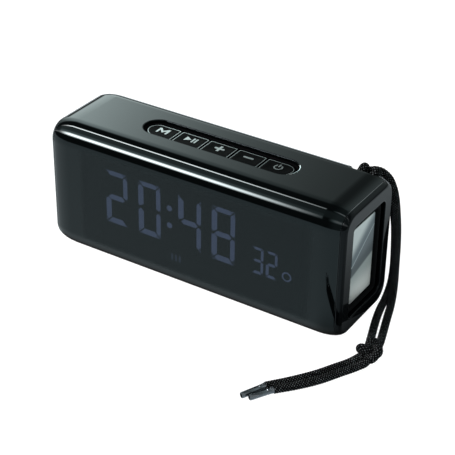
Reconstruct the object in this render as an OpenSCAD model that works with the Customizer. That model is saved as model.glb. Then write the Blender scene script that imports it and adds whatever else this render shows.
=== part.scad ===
// Clock radio: a long rounded bar with a smoked mirror front, a row of five
// top buttons, a passive radiator in each end and a doubled wrist lanyard.
// Millimetres. +X runs along the length, -Y is the display side, +Z is up.
// The origin is the middle of the footprint, on the surface it stands on.

/* [Body] */
// Overall length
body_w = 164; // [156:1:172]
// Overall depth, display face to rear face
body_d = 51; // [50:0.5:53]
// Overall height, base pad included
body_h = 70; // [70:0.5:74]
// Radius of the four long edges
edge_r = 11; // [10:0.5:12]
// Length over which each end draws in
end_run = 12; // [10:1:14]
// How far the outline draws in at each end
end_inset = 4.3; // [3:0.1:5]
// Wall thickness of the case
wall = 2.2; // [2:0.1:2.4]
// How far the base pad stands below the case
pad_stand = 0.4; // [0.3:0.1:0.8]

/* [End caps] */
// Thickness of each end cap beyond the seam
cap_t = 2.45; // [2.3:0.05:3]
// Width of the cap opening, along the depth
cap_open_d = 31.4; // [30:0.2:32]
// Height of the cap opening
cap_open_h = 49.4; // [48:0.2:50]
// Depth of the radiator plate
plate_d = 20.4; // [18:0.2:22]
// Height of the radiator plate
plate_h = 40.2; // [38:0.2:42]
// Height of the middle of the radiator plate
plate_z = 35.2; // [34:0.2:37]
// Thickness of the radiator plate
plate_t = 1.4; // [1.2:0.1:1.6]

/* [Buttons] */
// Length of the button recess
key_len = 84.6; // [84:0.2:86]
// Depth of the button recess
key_dep = 14.6; // [14:0.2:15]
// Distance between neighbouring buttons
key_pitch = 16.05; // [15.9:0.05:16.2]
// Gap between neighbouring buttons
key_gap = 0.8; // [0.6:0.1:1]
// Where the middle of the recess lies along the length
key_x = 1.4; // [0:0.1:3]
// How far the button tops lie below the case top
key_sink = 1.5; // [1.2:0.1:2]
// Travel of a button
key_travel = 0.5; // [0.3:0.05:0.6]

/* [Display] */
// Height of the time digits
digit_h = 29; // [26:0.5:30]
// Width of the time digits
digit_w = 12.8; // [12:0.1:13]
// Stroke of the time digits
digit_s = 3; // [2.4:0.1:3.2]
// Height of the temperature digits
small_h = 14.4; // [12:0.2:15]
// Width of the temperature digits
small_w = 6; // [5.4:0.1:6.2]
// Stroke of the temperature digits
small_s = 1.5; // [1.2:0.1:1.6]
// Thickness of the glowing diffusers
diffuser_t = 1.6; // [1:0.1:2]

/* [Speakers] */
// Distance of each speaker from the middle of the body
driver_x = 46; // [45:0.5:46]
// Outer radius of a speaker frame
driver_r = 18.4; // [17.6:0.2:18.4]
// Radius of a speaker cone
cone_r = 14.4; // [13.6:0.2:14.4]
// Spacing of the round holes in the rear panel
hole_pitch = 4; // [3.8:0.1:4.4]
// Radius of one round hole in the rear panel
hole_r = 1.1; // [0.8:0.1:1.2]

/* [Lanyard] */
// Diameter of the braided cord
cord_d = 4; // [3.6:0.1:4]
// Radius of the steel bar the cord is hitched to
bar_r = 1.5; // [1.2:0.1:1.5]
// Diameter of the aglets
aglet_d = 3; // [2.6:0.1:3.4]

/* [Hidden] */

// Colours
c_gloss = "#14161a";
c_matte = "#1c1d20";
c_rubber = "#101114";
c_mirror = "#c9cfd4";
c_glow = "#8f98c4";
c_board = "#1f4a33";
c_steel = "#b4b8bc";
c_cord = "#17181a";
c_cell = "#2f6fb0";

// Body, from the driving sizes
fine = 72;
round_fn = 32;
eps = 0.02;
shell_h = body_h - pad_stand;
mid_z = pad_stand + shell_h / 2;
seam_x = body_w / 2 - cap_t;
seam_gap = 0.15;
shell_x = seam_x - seam_gap;
cav_d = body_d - 2 * wall;
cav_h = shell_h - 2 * wall;
cav_r = edge_r - wall;
end_steps = 6;
front_in = -body_d / 2 + wall;
rear_out = body_d / 2;
rear_in = rear_out - wall;

// Lanyard bar and the hollow round it, in the top rear edge near the right end
bar_y = 21.5;
bar_z = 64.5;
hollow_r = 7.4;
hollow_x0 = 60.2;
hollow_x1 = 74.8;
boss_r = 9.4;
boss_side = 1.9;
bar_grip = 1.4;

// Radiators
rim_in = 2.35;
rim_gap = 0.1;
rim_wall = 2;
surround_t = 1.55;
plate_gap = 0.35;
plate_proud = 0.05;
open_r = 3.6;

// Buttons
key_side = 0.35;
tray_wall = 0.7;
tray_gap = 0.1;
tray_drop = 1.1;
tray_floor_z = 61.4;
tray_floor_t = 1.2;
flange_t = 1.2;
flange_grow = 3;
key_under_z = 64.4;
post_r = 2;
post_hole_r = 2.6;
post_z = 60.7;
stem_r = 1.7;
stem_z = 60;
key_board_z = 55.4;
key_board_t = 1.2;
switch_h = 3.1;
switch_w = 6;
rim_step = 0.7;
rim_deep = 0.5;

// Display
lamp_y = front_in + 0.1;
mask_t = 6;
mask_x0 = -52;
mask_x1 = 60;
mask_z0 = 11;
mask_z1 = 56;
digit_xs = [-42.5, -23.2, -0.1, 18.7];
digit_ns = [2, 0, 4, 8];
digit_z0 = 23.8;
colon_x = -11.6;
colon_zs = [33.6, 43];
colon_r = 1.5;
small_xs = [37.7, 45.2];
small_ns = [3, 2];
small_z0 = 24;
ring_x = 53.3;
ring_z = 27.9;
ring_r = 2.5;
ring_s = 0.7;
mark_x = -8;
mark_z = 16.4;
slot_gap = 0.1;

// Which of the seven strokes each digit lights: top, top right, bottom right,
// bottom, bottom left, top left, middle
STROKES = [
    [1, 1, 1, 1, 1, 1, 0], [0, 1, 1, 0, 0, 0, 0], [1, 1, 0, 1, 1, 0, 1], [1, 1, 1, 1, 0, 0, 1],
    [0, 1, 1, 0, 0, 1, 1], [1, 0, 1, 1, 0, 1, 1], [1, 0, 1, 1, 1, 1, 1], [1, 1, 1, 0, 0, 0, 0],
    [1, 1, 1, 1, 1, 1, 1], [1, 1, 1, 1, 0, 1, 1]
];

// Speakers and the rear
driver_z = 33.4;
driver_hole_r = 16.4;
flange_y = 1.6;
basket_y0 = 11.4;
magnet_r = 12.4;
magnet_y0 = 1.6;
cone_gap = 0.5;
cone_travel = 0.8;
panel_w = 144;
panel_z0 = 12.4;
panel_z1 = 54.6;
panel_sink = 1.2;
panel_t = 1;
panel_r = 4;
panel_gap = 0.15;
screw_x = 69;
screw_z0 = 15.6;
screw_z1 = 51.4;
screw_r = 1.5;
screw_len = 2;
port_z = 18;
port_half = 19;
port_h = 11;
board_y = 8;
board_t = 1.6;
jack_x = 12;
jack_r = 1.8;
jack_out = 3;
jack_len = 14.5;
usb_x = -12;
usb_w = 9;
usb_h = 3.3;
card_w = 11.4;

// Base pad
pad_w = 104;
pad_d = 22;
pad_r = 5;
pad_deep = 0.8;

// Battery
cell_r = 9.1;
cell_len = 65;
cell_y = -5.2;
cell_z = 13.4;

// Cord routes, round points chosen by hand. Each leg leaves the hitch, arches
// over beside the rear edge, hangs down behind the corner and lies on the surface.
cord_r = cord_d / 2;
hitch_r = bar_r + cord_r + 0.05;
hitch_xs = [64.8, 70.8];
leg_outer_pts = [
    [66.1, 26.8, 61.9], [69.6, 28.2, 63.5], [73.5, 29, 63.2], [76.8, 29.1, 61.1], [78.9, 28.9, 57.7],
    [80.6, 28.5, 53], [82.2, 27.8, 47], [83.6, 27, 39], [84.5, 26.3, 29.6], [85, 25.7, 20],
    [85.4, 25.2, 12.4], [85.9, 24, 7.4], [87, 20.8, 3.6], [88.7, 15.7, 2.1], [90.7, 9.4, 2.1],
    [92.9, 2.6, 2.1], [95.4, -5, 2.1], [97.6, -12, 2.3], [98.8, -16.6, 3]
];
leg_inner_pts = [
    [71.4, 25.4, 60.8], [72.8, 28.6, 58.7], [74.4, 31, 55.6], [76, 32.2, 51.6], [77.8, 32.3, 47],
    [79.4, 31.9, 41.4], [80.6, 31.5, 34], [81.4, 31, 25.6], [81.9, 30.6, 18], [82.1, 30, 12.4],
    [82.3, 28.6, 7.6], [82.7, 25.2, 3.8], [83.6, 20, 2.1], [84.9, 13.4, 2.1], [86.8, 6, 2.1],
    [89.3, -2, 2.1], [92, -9.8, 2.3], [93.8, -15, 3]
];
knot_c = [98.6, -22.6, 5];
tail_left_pts = [
    [95.4, -28.2, 3], [92.6, -33, 2.3], [88.8, -39.4, 2.1], [83.8, -48.8, 2.1], [77.2, -58.6, 2.1],
    [70, -68.4, 2.1]
];
tail_right_pts = [
    [99.6, -30.4, 3], [97.2, -35.6, 2.3], [94, -41.8, 2.1], [88.6, -52, 2.1], [82.4, -60.6, 2.1],
    [75, -68.8, 2.1]
];
aglet_left_end = [64.4, -79.4, 1.7];
aglet_right_end = [69, -79, 1.7];
cord_sides = 10;
up_side = [0, 0, 1];
outer_side = [0.5, 0.85, 0];
inner_side = [1, 0, 0];

// A unit vector
function unit(v) = v / norm(v);

// The direction of a route at point i
function heading(p, i) = unit(p[min(i + 1, len(p) - 1)] - p[max(i - 1, 0)]);

// A ring of points of radius r round point i of a route
function ring(p, i, r, n, side) =
    let (t = heading(p, i), u = unit(cross(t, side)), v = cross(t, u))
    [for (k = [0:n - 1]) p[i] + r * (cos(360 * k / n) * u + sin(360 * k / n) * v)];

// A round tube along a route
module tube(p, r, n, side) {
    m = len(p);
    points = [for (i = [0:m - 1]) each ring(p, i, r, n, side)];
    sides = [for (i = [0:m - 2], k = [0:n - 1]) let (a = i * n + k, b = i * n + (k + 1) % n)
        each [[a, a + n, b + n], [a, b + n, b]]];
    caps = [[for (k = [0:n - 1]) k], [for (k = [0:n - 1]) m * n - 1 - k]];
    polyhedron(points, concat(sides, caps), convexity = 6);
}

// A rectangle with round corners, centred
module round_rect(w, h, r) {
    square([w - 2 * r, h], center = true);
    square([w, h - 2 * r], center = true);
    for (sx = [-1, 1], sy = [-1, 1]) {
        translate([sx * (w / 2 - r), sy * (h / 2 - r)]) circle(r = r, $fn = fine);
    }
}

// A capsule outline along X, centred
module capsule(len_x, dep) {
    square([len_x - dep, dep], center = true);
    for (s = [-1, 1]) {
        translate([s * (len_x - dep) / 2, 0]) circle(d = dep, $fn = fine);
    }
}

// A flat profile in the Y-Z plane, extruded from x0 to x1
module along_x(x0, x1) {
    translate([x0, 0, 0]) rotate([90, 0, 90]) linear_extrude(x1 - x0) children();
}

// A flat profile in the X-Z plane, extruded from y0 back to y1
module along_y(y0, y1) {
    translate([0, y1, 0]) rotate([90, 0, 0]) linear_extrude(y1 - y0) children();
}

// Outline of the body along its length, for a half width c + edge_r: the ends
// draw in on a quarter ellipse
function outline(c) = [
    for (i = [0:end_steps]) let (a = 90 * i / end_steps)
        [body_w / 2 - end_run + end_run * sin(a), c + edge_r - end_inset * (1 - cos(a))]
];

// The outline and its mirror image in the Y axis, as the top edge of a polygon
function both_ends(c) = concat(
    outline(c), [for (i = [end_steps:-1:0]) [outline(c)[i][0], -outline(c)[i][1]]],
    [for (p = outline(c)) [-p[0], -p[1]]],
    [for (i = [end_steps:-1:0]) [-outline(c)[i][0], outline(c)[i][1]]]
);

// One long rounded edge of the body, a quarter turn about its own axis
module long_edge() {
    rotate([90, 0, 90]) rotate_extrude(angle = 90, $fn = fine) polygon(concat(
        [[0, -body_w / 2]],
        [for (i = [end_steps:-1:0]) [outline(0)[i][1], -outline(0)[i][0]]],
        [for (p = outline(0)) [p[1], p[0]]],
        [[0, body_w / 2]]
    ));
}

// The outer form of the whole body: one rounded section that draws in at both ends
module bar_form() {
    flat_d = body_d / 2 - edge_r;
    flat_h = shell_h / 2 - edge_r;
    translate([0, 0, mid_z]) {
        translate([0, 0, -flat_h]) linear_extrude(2 * flat_h) polygon(both_ends(flat_d));
        rotate([90, 0, 0]) translate([0, 0, -flat_d]) linear_extrude(2 * flat_d)
            polygon(both_ends(flat_h));
        for (sy = [0, 1], sz = [0, 1]) {
            mirror([0, sy, 0]) mirror([0, 0, sz]) translate([0, flat_d, flat_h]) long_edge();
        }
    }
}

// The inside of the case
module cavity() {
    translate([0, 0, mid_z]) along_x(-body_w / 2, body_w / 2) round_rect(cav_d, cav_h, cav_r);
}

// A rod along X at the lanyard bar's axis
module bar_axis(r, x0, x1) {
    translate([x0, bar_y, bar_z]) rotate([0, 90, 0]) cylinder(r = r, h = x1 - x0, $fn = fine);
}

// Smoked gloss case: front, top, bottom and rear wall in one sleeve
module front_shell() {
    color(c_gloss) difference() {
        intersection() {
            bar_form();
            difference() {
                translate([-shell_x, -body_d, -body_h]) cube([2 * shell_x, 2 * body_d, 3 * body_h]);
                difference() {
                    cavity();
                    bar_axis(boss_r, hollow_x0 - boss_side, hollow_x1 + boss_side);
                }
            }
        }
        bar_axis(hollow_r, hollow_x0, hollow_x1);
        bar_axis(bar_r, hollow_x0 - bar_grip, hollow_x1 + bar_grip);
        translate([key_x, 0, key_board_z]) linear_extrude(body_h) capsule(key_len, key_dep);
        translate([key_x, 0, body_h - rim_deep]) linear_extrude(body_h)
            capsule(key_len + 2 * rim_step, key_dep + 2 * rim_step);
        rear_recess();
        for (s = [-1, 1]) {
            translate([s * driver_x, 0, driver_z]) along_y(0, body_d) circle(r = driver_hole_r, $fn = fine);
        }
        translate([0, 0, port_z]) along_y(0, body_d) square([2 * port_half, port_h], center = true);
        screw_places(screw_r, rear_in - 1, body_d);
        translate([0, 0, -1]) linear_extrude(1 + pad_stand + pad_deep) round_rect(pad_w, pad_d, pad_r);
    }
}

// The shallow recess that the rear panel sits in
module rear_recess() {
    translate([0, 0, (panel_z0 + panel_z1) / 2]) along_y(rear_out - panel_sink, body_d)
        round_rect(panel_w, panel_z1 - panel_z0, panel_r);
}

// The places of the four rear screws
module screw_places(r, y0, y1) {
    for (sx = [-1, 1], z = [screw_z0, screw_z1]) {
        translate([sx * screw_x, 0, z]) along_y(y0, y1) circle(r = r, $fn = fine);
    }
}

// One end cap: a gloss ring with a short rim that slides into the case
module end_cap(s) {
    color(c_gloss) difference() {
        union() {
            intersection() {
                bar_form();
                translate([s > 0 ? seam_x : -body_w, -body_d, -body_h])
                    cube([body_w - seam_x, 2 * body_d, 3 * body_h]);
            }
            mirror([s > 0 ? 0 : 1, 0, 0]) translate([0, 0, mid_z])
                along_x(seam_x - rim_in, seam_x + eps)
                round_rect(cav_d - 2 * rim_gap, cav_h - 2 * rim_gap, cav_r - rim_gap);
        }
        mirror([s > 0 ? 0 : 1, 0, 0]) {
            translate([0, 0, plate_z]) along_x(seam_x - body_w, body_w)
                round_rect(cap_open_d, cap_open_h, open_r);
            translate([0, 0, mid_z]) along_x(seam_x - body_w, seam_x)
                round_rect(cav_d - 2 * rim_wall, cav_h - 2 * rim_wall, cav_r - rim_wall);
        }
    }
}

module end_cap_left() {
    end_cap(-1);
}

module end_cap_right() {
    end_cap(1);
}

// Rubber surround of one radiator, clamped behind the cap opening
module radiator_surround(s) {
    color(c_rubber) mirror([s > 0 ? 0 : 1, 0, 0])
        difference() {
            translate([0, 0, mid_z]) along_x(seam_x - surround_t, seam_x)
                round_rect(cav_d - 2 * rim_wall - 2 * rim_gap, cav_h - 2 * rim_wall - 2 * rim_gap,
                    cav_r - rim_wall - rim_gap);
            translate([0, 0, plate_z]) along_x(seam_x - body_w, body_w)
                square([plate_d + 2 * plate_gap, plate_h + 2 * plate_gap], center = true);
        }
}

module radiator_surround_left() {
    radiator_surround(-1);
}

module radiator_surround_right() {
    radiator_surround(1);
}

// Bright plate of one radiator
module radiator_plate(s) {
    face_x = seam_x + plate_proud;
    color(c_mirror) mirror([s > 0 ? 0 : 1, 0, 0]) translate([0, 0, plate_z])
        along_x(face_x - plate_t, face_x) square([plate_d, plate_h], center = true);
}

module radiator_plate_left() {
    radiator_plate(-1);
}

module radiator_plate_right() {
    radiator_plate(1);
}

// Perforated rear panel with the openings for the sockets
module rear_panel() {
    color(c_matte) translate([0, 0, (panel_z0 + panel_z1) / 2]) difference() {
        along_y(rear_out - panel_sink, rear_out - panel_sink + panel_t)
            round_rect(panel_w - 2 * panel_gap, panel_z1 - panel_z0 - 2 * panel_gap, panel_r - panel_gap);
        along_y(0, body_d) panel_holes();
        translate([0, 0, -(panel_z0 + panel_z1) / 2]) {
            screw_places(screw_r, 0, body_d);
            along_y(0, body_d) socket_holes();
        }
    }
}

// The hexagonal field of round holes in front of each speaker
module panel_holes() {
    rows = 4;
    row_h = hole_pitch * sqrt(3) / 2;
    for (s = [-1, 1], j = [-rows:rows]) {
        shift = (abs(j) % 2) * hole_pitch / 2;
        for (i = [-rows:rows]) {
            x = i * hole_pitch + shift;
            z = j * row_h;
            if (norm([x, z]) < driver_hole_r - hole_r) {
                translate([s * driver_x + x, z + driver_z - (panel_z0 + panel_z1) / 2])
                    circle(r = hole_r, $fn = 24);
            }
        }
    }
}

// The three socket openings in the rear panel
module socket_holes() {
    translate([jack_x, port_z]) circle(r = jack_out + 0.1, $fn = fine);
    translate([usb_x, port_z]) round_rect(usb_w + 0.4, usb_h + 0.4, 1.2);
    translate([0, port_z]) square([card_w + 0.6, 1.8], center = true);
}

// Four identical rear screws
module rear_screws() {
    color(c_steel) difference() {
        screw_places(screw_r, rear_out - panel_sink + panel_t - screw_len, rear_out - panel_sink + panel_t);
        for (sx = [-1, 1], z = [screw_z0, screw_z1], a = [0, 90]) {
            translate([sx * screw_x, rear_out - panel_sink + panel_t, z]) rotate([0, a, 0])
                cube([2, 1.2, 0.5], center = true);
        }
    }
}

// Rubber pad under the case
module base_pad() {
    color(c_rubber) linear_extrude(pad_stand + pad_deep) round_rect(pad_w, pad_d, pad_r);
}

// Tray that the buttons sit in
module button_tray() {
    tray_top = body_h - rim_deep - tray_drop;
    color(c_matte) translate([key_x, 0, 0]) difference() {
        union() {
            translate([0, 0, tray_floor_z]) linear_extrude(tray_top - tray_floor_z)
                capsule(key_len - 2 * tray_gap, key_dep - 2 * tray_gap);
            translate([0, 0, mid_z + cav_h / 2 - flange_t]) linear_extrude(flange_t)
                capsule(key_len + 2 * flange_grow, key_dep + 2 * flange_grow);
        }
        translate([0, 0, tray_floor_z + tray_floor_t]) linear_extrude(body_h)
            capsule(key_len - 2 * tray_gap - 2 * tray_wall, key_dep - 2 * tray_gap - 2 * tray_wall);
        for (i = [-2:2]) {
            translate([i * key_pitch, 0, 0]) cylinder(r = post_hole_r, h = body_h, $fn = fine);
        }
    }
}

// One button: i counts from -2 at the left to 2 at the right
module button(i) {
    well_len = key_len - 2 * (tray_gap + tray_wall + key_side);
    well_dep = key_dep - 2 * (tray_gap + tray_wall + key_side);
    half = key_pitch / 2 - key_gap / 2;
    top_z = body_h - key_sink;
    x0 = i == -2 ? -well_len / 2 : (i * key_pitch - half);
    x1 = i == 2 ? well_len / 2 : (i * key_pitch + half);
    color(c_gloss) translate([key_x, 0, 0]) {
        translate([0, 0, key_under_z]) linear_extrude(top_z - key_under_z) intersection() {
            capsule(well_len, well_dep);
            translate([x0, -well_dep]) square([x1 - x0, 2 * well_dep]);
        }
        translate([i * key_pitch, 0, post_z]) cylinder(r = post_r, h = key_under_z - post_z, $fn = fine);
    }
}

module button_mode() {
    button(-2);
}

module button_play_pause() {
    button(-1);
}

module button_volume_up() {
    button(0);
}

module button_volume_down() {
    button(1);
}

module button_power() {
    button(2);
}

// Board under the buttons
module button_board() {
    color(c_board) translate([key_x, 0, key_board_z]) linear_extrude(key_board_t)
        round_rect(key_len - 8, key_dep, 1);
}

// Five identical push switches
module tact_switches() {
    z0 = key_board_z + key_board_t;
    color(c_steel) for (i = [-2:2]) {
        translate([key_x + i * key_pitch, 0, z0]) {
            translate([-switch_w / 2, -switch_w / 2, 0]) cube([switch_w, switch_w, switch_h]);
            cylinder(r = stem_r, h = stem_z - z0, $fn = fine);
        }
    }
}

// One stroke of a digit: a bar with pointed ends, centred, along its length
module stroke(len_s, s) {
    h = s / 2;
    polygon([[-len_s / 2, 0], [-len_s / 2 + h, h], [len_s / 2 - h, h],
        [len_s / 2, 0], [len_s / 2 - h, -h], [-len_s / 2 + h, -h]]);
}

// One seven-stroke digit, standing on the line y = 0 and centred on x = 0
module digit(n, w, h, s, grow) {
    gap = s * 0.12;
    across = w - s - 2 * gap;
    down = (h - s) / 2 - 2 * gap;
    right = w / 2 - s / 2;
    places = [
        [0, h - s / 2, 0, across], [right, h * 0.75 - s / 4, 90, down],
        [right, h * 0.25 + s / 4, 90, down], [0, s / 2, 0, across],
        [-right, h * 0.25 + s / 4, 90, down], [-right, h * 0.75 - s / 4, 90, down],
        [0, h / 2, 0, across]
    ];
    for (k = [0:6]) {
        if (STROKES[n][k] == 1) {
            translate([places[k][0], places[k][1]]) rotate(places[k][2])
                stroke(places[k][3] + 2 * grow, s + 2 * grow);
        }
    }
}

// The outline of every lit figure, grown by a small gap
module time_outline(grow) {
    for (k = [0:3]) {
        translate([digit_xs[k], digit_z0]) digit(digit_ns[k], digit_w, digit_h, digit_s, grow);
    }
}

module colon_outline(grow) {
    for (z = colon_zs) {
        translate([colon_x, z]) circle(r = colon_r + grow, $fn = fine);
    }
}

module temperature_outline(grow) {
    for (k = [0:1]) {
        translate([small_xs[k], small_z0]) digit(small_ns[k], small_w, small_h, small_s, grow);
    }
}

module degree_outline(grow) {
    translate([ring_x, ring_z]) difference() {
        circle(r = ring_r + grow, $fn = fine);
        circle(r = ring_r - ring_s - grow, $fn = fine);
    }
}

module indicator_outline(grow) {
    for (i = [-1:1]) {
        translate([mark_x + 2.2 * i, mark_z]) square([1 + 2 * grow, 3.4 + 2 * grow], center = true);
    }
}

// Matte block that keeps each figure's light apart
module light_mask() {
    color(c_matte) difference() {
        along_y(lamp_y, lamp_y + mask_t) translate([mask_x0, mask_z0])
            square([mask_x1 - mask_x0, mask_z1 - mask_z0]);
        along_y(lamp_y - 1, lamp_y + diffuser_t) {
            time_outline(slot_gap);
            colon_outline(slot_gap);
            temperature_outline(slot_gap);
            degree_outline(slot_gap);
            indicator_outline(slot_gap);
        }
    }
}

module time_digits() {
    color(c_glow) along_y(lamp_y, lamp_y + diffuser_t) time_outline(0);
}

module colon_dots() {
    color(c_glow) along_y(lamp_y, lamp_y + diffuser_t) colon_outline(0);
}

module temperature_digits() {
    color(c_glow) along_y(lamp_y, lamp_y + diffuser_t) temperature_outline(0);
}

module degree_mark() {
    color(c_glow) along_y(lamp_y, lamp_y + diffuser_t) degree_outline(0);
}

module indicator_marks() {
    color(c_glow) along_y(lamp_y, lamp_y + diffuser_t) indicator_outline(0);
}

// Board behind the mask
module display_board() {
    color(c_board) along_y(lamp_y + mask_t, lamp_y + mask_t + board_t)
        translate([mask_x0, mask_z0]) square([mask_x1 - mask_x0, mask_z1 - mask_z0]);
}

// Turn a shape that stands on Z to face the rear, at one speaker
module at_speaker(s) {
    translate([s * driver_x, 0, driver_z]) rotate([-90, 0, 0]) children();
}

// Steel frame of one speaker: a flange behind the rear wall and a basket
module speaker_frame(s) {
    color(c_steel) at_speaker(s) rotate_extrude($fn = fine) polygon([
        [magnet_r - 3, basket_y0], [magnet_r, basket_y0], [driver_r - 1.4, rear_in - flange_y],
        [driver_r, rear_in - flange_y], [driver_r, rear_in], [cone_r + 1.6, rear_in],
        [cone_r + 1.6, rear_in - flange_y], [magnet_r - 1.2, basket_y0 + 1.2],
        [magnet_r - 3, basket_y0 + 1.2]
    ]);
}

module speaker_frame_left() {
    speaker_frame(-1);
}

module speaker_frame_right() {
    speaker_frame(1);
}

// Magnet of one speaker
module speaker_magnet(s) {
    color(c_matte) at_speaker(s) translate([0, 0, magnet_y0])
        cylinder(r = magnet_r, h = basket_y0 - magnet_y0, $fn = fine);
}

module speaker_magnet_left() {
    speaker_magnet(-1);
}

module speaker_magnet_right() {
    speaker_magnet(1);
}

// Cone and dust cap of one speaker
module speaker_cone(s) {
    rim_y = rear_in - cone_travel - cone_gap;
    color(c_matte) at_speaker(s) rotate_extrude($fn = fine) polygon([
        [0, rim_y - 5.4], [5, rim_y - 5.4], [cone_r - 1, rim_y - 0.8], [cone_r, rim_y - 0.8],
        [cone_r, rim_y], [cone_r - 1.4, rim_y], [5.4, rim_y - 4], [3, rim_y - 2.4], [0, rim_y - 2]
    ]);
}

module speaker_cone_left() {
    speaker_cone(-1);
}

module speaker_cone_right() {
    speaker_cone(1);
}

// Main board, standing between the speakers
module main_board() {
    color(c_board) along_y(board_y, board_y + board_t) translate([-26, 9]) square([52, 40]);
}

// Round audio socket
module aux_jack() {
    mouth = rear_out - panel_sink + panel_t;
    color(c_matte) translate([jack_x, 0, port_z]) difference() {
        union() {
            translate([-3.2, board_y + board_t, -3.2]) cube([6.4, rear_in - board_y - board_t, 6.4]);
            along_y(rear_in - 1, mouth) circle(r = jack_out, $fn = fine);
        }
        along_y(mouth - jack_len, mouth + 1) circle(r = jack_r, $fn = fine);
    }
}

// Charging socket
module charge_socket() {
    mouth = rear_out - panel_sink + panel_t;
    color(c_steel) translate([usb_x, 0, port_z]) difference() {
        along_y(board_y + board_t, mouth) round_rect(usb_w, usb_h, 1);
        along_y(mouth - 6, mouth + 1) difference() {
            round_rect(usb_w - 0.7, usb_h - 0.7, 0.7);
            square([usb_w - 2.6, 0.8], center = true);
        }
    }
}

// Memory card socket
module card_slot() {
    color(c_steel) translate([0, 0, port_z]) difference() {
        along_y(board_y + board_t, rear_in) square([card_w + 2, 2.4], center = true);
        along_y(board_y + board_t + 1, body_d) square([card_w, 1], center = true);
    }
}

// Round battery cell
module battery_cell() {
    color(c_cell) translate([-cell_len / 2, cell_y, cell_z]) rotate([0, 90, 0]) {
        cylinder(r = cell_r, h = cell_len, $fn = fine);
        translate([0, 0, cell_len]) cylinder(r = 2.6, h = 1.2, $fn = fine);
    }
}

// Cradle under the battery
module battery_cradle() {
    color(c_matte) difference() {
        translate([-36, cell_y - cell_r - 1.4, pad_stand + wall])
            cube([72, 2 * (cell_r + 1.4), 7]);
        translate([-cell_len / 2 - 0.2, cell_y, cell_z]) rotate([0, 90, 0])
            cylinder(r = cell_r + 0.1, h = cell_len + 1.8, $fn = fine);
    }
}

// Steel bar that the lanyard is hitched to
module lanyard_bar() {
    color(c_steel) bar_axis(bar_r, hollow_x0 - bar_grip, hollow_x1 + bar_grip);
}

// Hitch: two turns of cord round the bar and the strand that joins them
module lanyard_hitch() {
    color(c_cord) {
        for (x = hitch_xs) {
            translate([x, bar_y, bar_z]) rotate([0, 90, 0]) rotate_extrude($fn = fine)
                translate([hitch_r, 0]) circle(r = cord_r, $fn = fine);
        }
        rotate_about_bar(-50) bar_shifted();
    }
}

// The joining strand, out from the bar's axis
module bar_shifted() {
    translate([hitch_xs[0], hitch_r + 0.4, 0]) rotate([0, 90, 0])
        cylinder(r = cord_r, h = hitch_xs[1] - hitch_xs[0], $fn = fine);
}

// Turn children about the bar's axis
module rotate_about_bar(a) {
    translate([0, bar_y, bar_z]) rotate([a, 0, 0]) children();
}

module lanyard_leg_outer() {
    color(c_cord) tube(leg_outer_pts, cord_r, cord_sides, outer_side);
}

module lanyard_leg_inner() {
    color(c_cord) tube(leg_inner_pts, cord_r, cord_sides, inner_side);
}

// Overhand knot that gathers the two legs
module lanyard_knot() {
    color(c_cord) translate(knot_c) hull() {
        translate([-3.4, -1.6, -1]) sphere(r = 3.8, $fn = round_fn);
        translate([3.4, 0.2, -1]) sphere(r = 3.8, $fn = round_fn);
        translate([0.6, -4, -0.8]) sphere(r = 3.8, $fn = round_fn);
        translate([0, 2.4, -0.6]) sphere(r = 4, $fn = round_fn);
    }
}

module lanyard_tail_left() {
    color(c_cord) tube(tail_left_pts, cord_r, cord_sides, up_side);
}

module lanyard_tail_right() {
    color(c_cord) tube(tail_right_pts, cord_r, cord_sides, up_side);
}

// A crimped end on a tail, from its last point to its tip
module aglet(p, tip) {
    d = tip - p;
    flat = norm([d[0], d[1]]);
    color(c_matte) translate(p) rotate([0, atan2(flat, d[2]), atan2(d[1], d[0])]) difference() {
        cylinder(d = aglet_d, h = norm(d), $fn = fine);
        translate([0, 0, norm(d) - 1]) cylinder(d = aglet_d - 1, h = 2, $fn = fine);
    }
}

module aglet_left() {
    aglet(tail_left_pts[len(tail_left_pts) - 1], aglet_left_end);
}

module aglet_right() {
    aglet(tail_right_pts[len(tail_right_pts) - 1], aglet_right_end);
}

front_shell();
end_cap_left();
end_cap_right();
rear_panel();
rear_screws();
base_pad();
radiator_surround_left();
radiator_surround_right();
radiator_plate_left();
radiator_plate_right();
button_tray();
button_mode();
button_play_pause();
button_volume_up();
button_volume_down();
button_power();
button_board();
tact_switches();
light_mask();
time_digits();
colon_dots();
temperature_digits();
degree_mark();
indicator_marks();
display_board();
speaker_frame_left();
speaker_frame_right();
speaker_magnet_left();
speaker_magnet_right();
speaker_cone_left();
speaker_cone_right();
main_board();
aux_jack();
charge_socket();
card_slot();
battery_cell();
battery_cradle();
lanyard_bar();
lanyard_hitch();
lanyard_leg_outer();
lanyard_leg_inner();
lanyard_knot();
lanyard_tail_left();
lanyard_tail_right();
aglet_left();
aglet_right();
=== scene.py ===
"""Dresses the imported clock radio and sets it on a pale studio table.

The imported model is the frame: every piece made here stands where the frame's
own nodes stand, rides on one of its bodies and takes its sizes from it.
"""

from __future__ import annotations

import logging
import math
from dataclasses import dataclass
from enum import Enum
from typing import Mapping, Sequence

import bpy
from mathutils import Matrix, Vector

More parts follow.
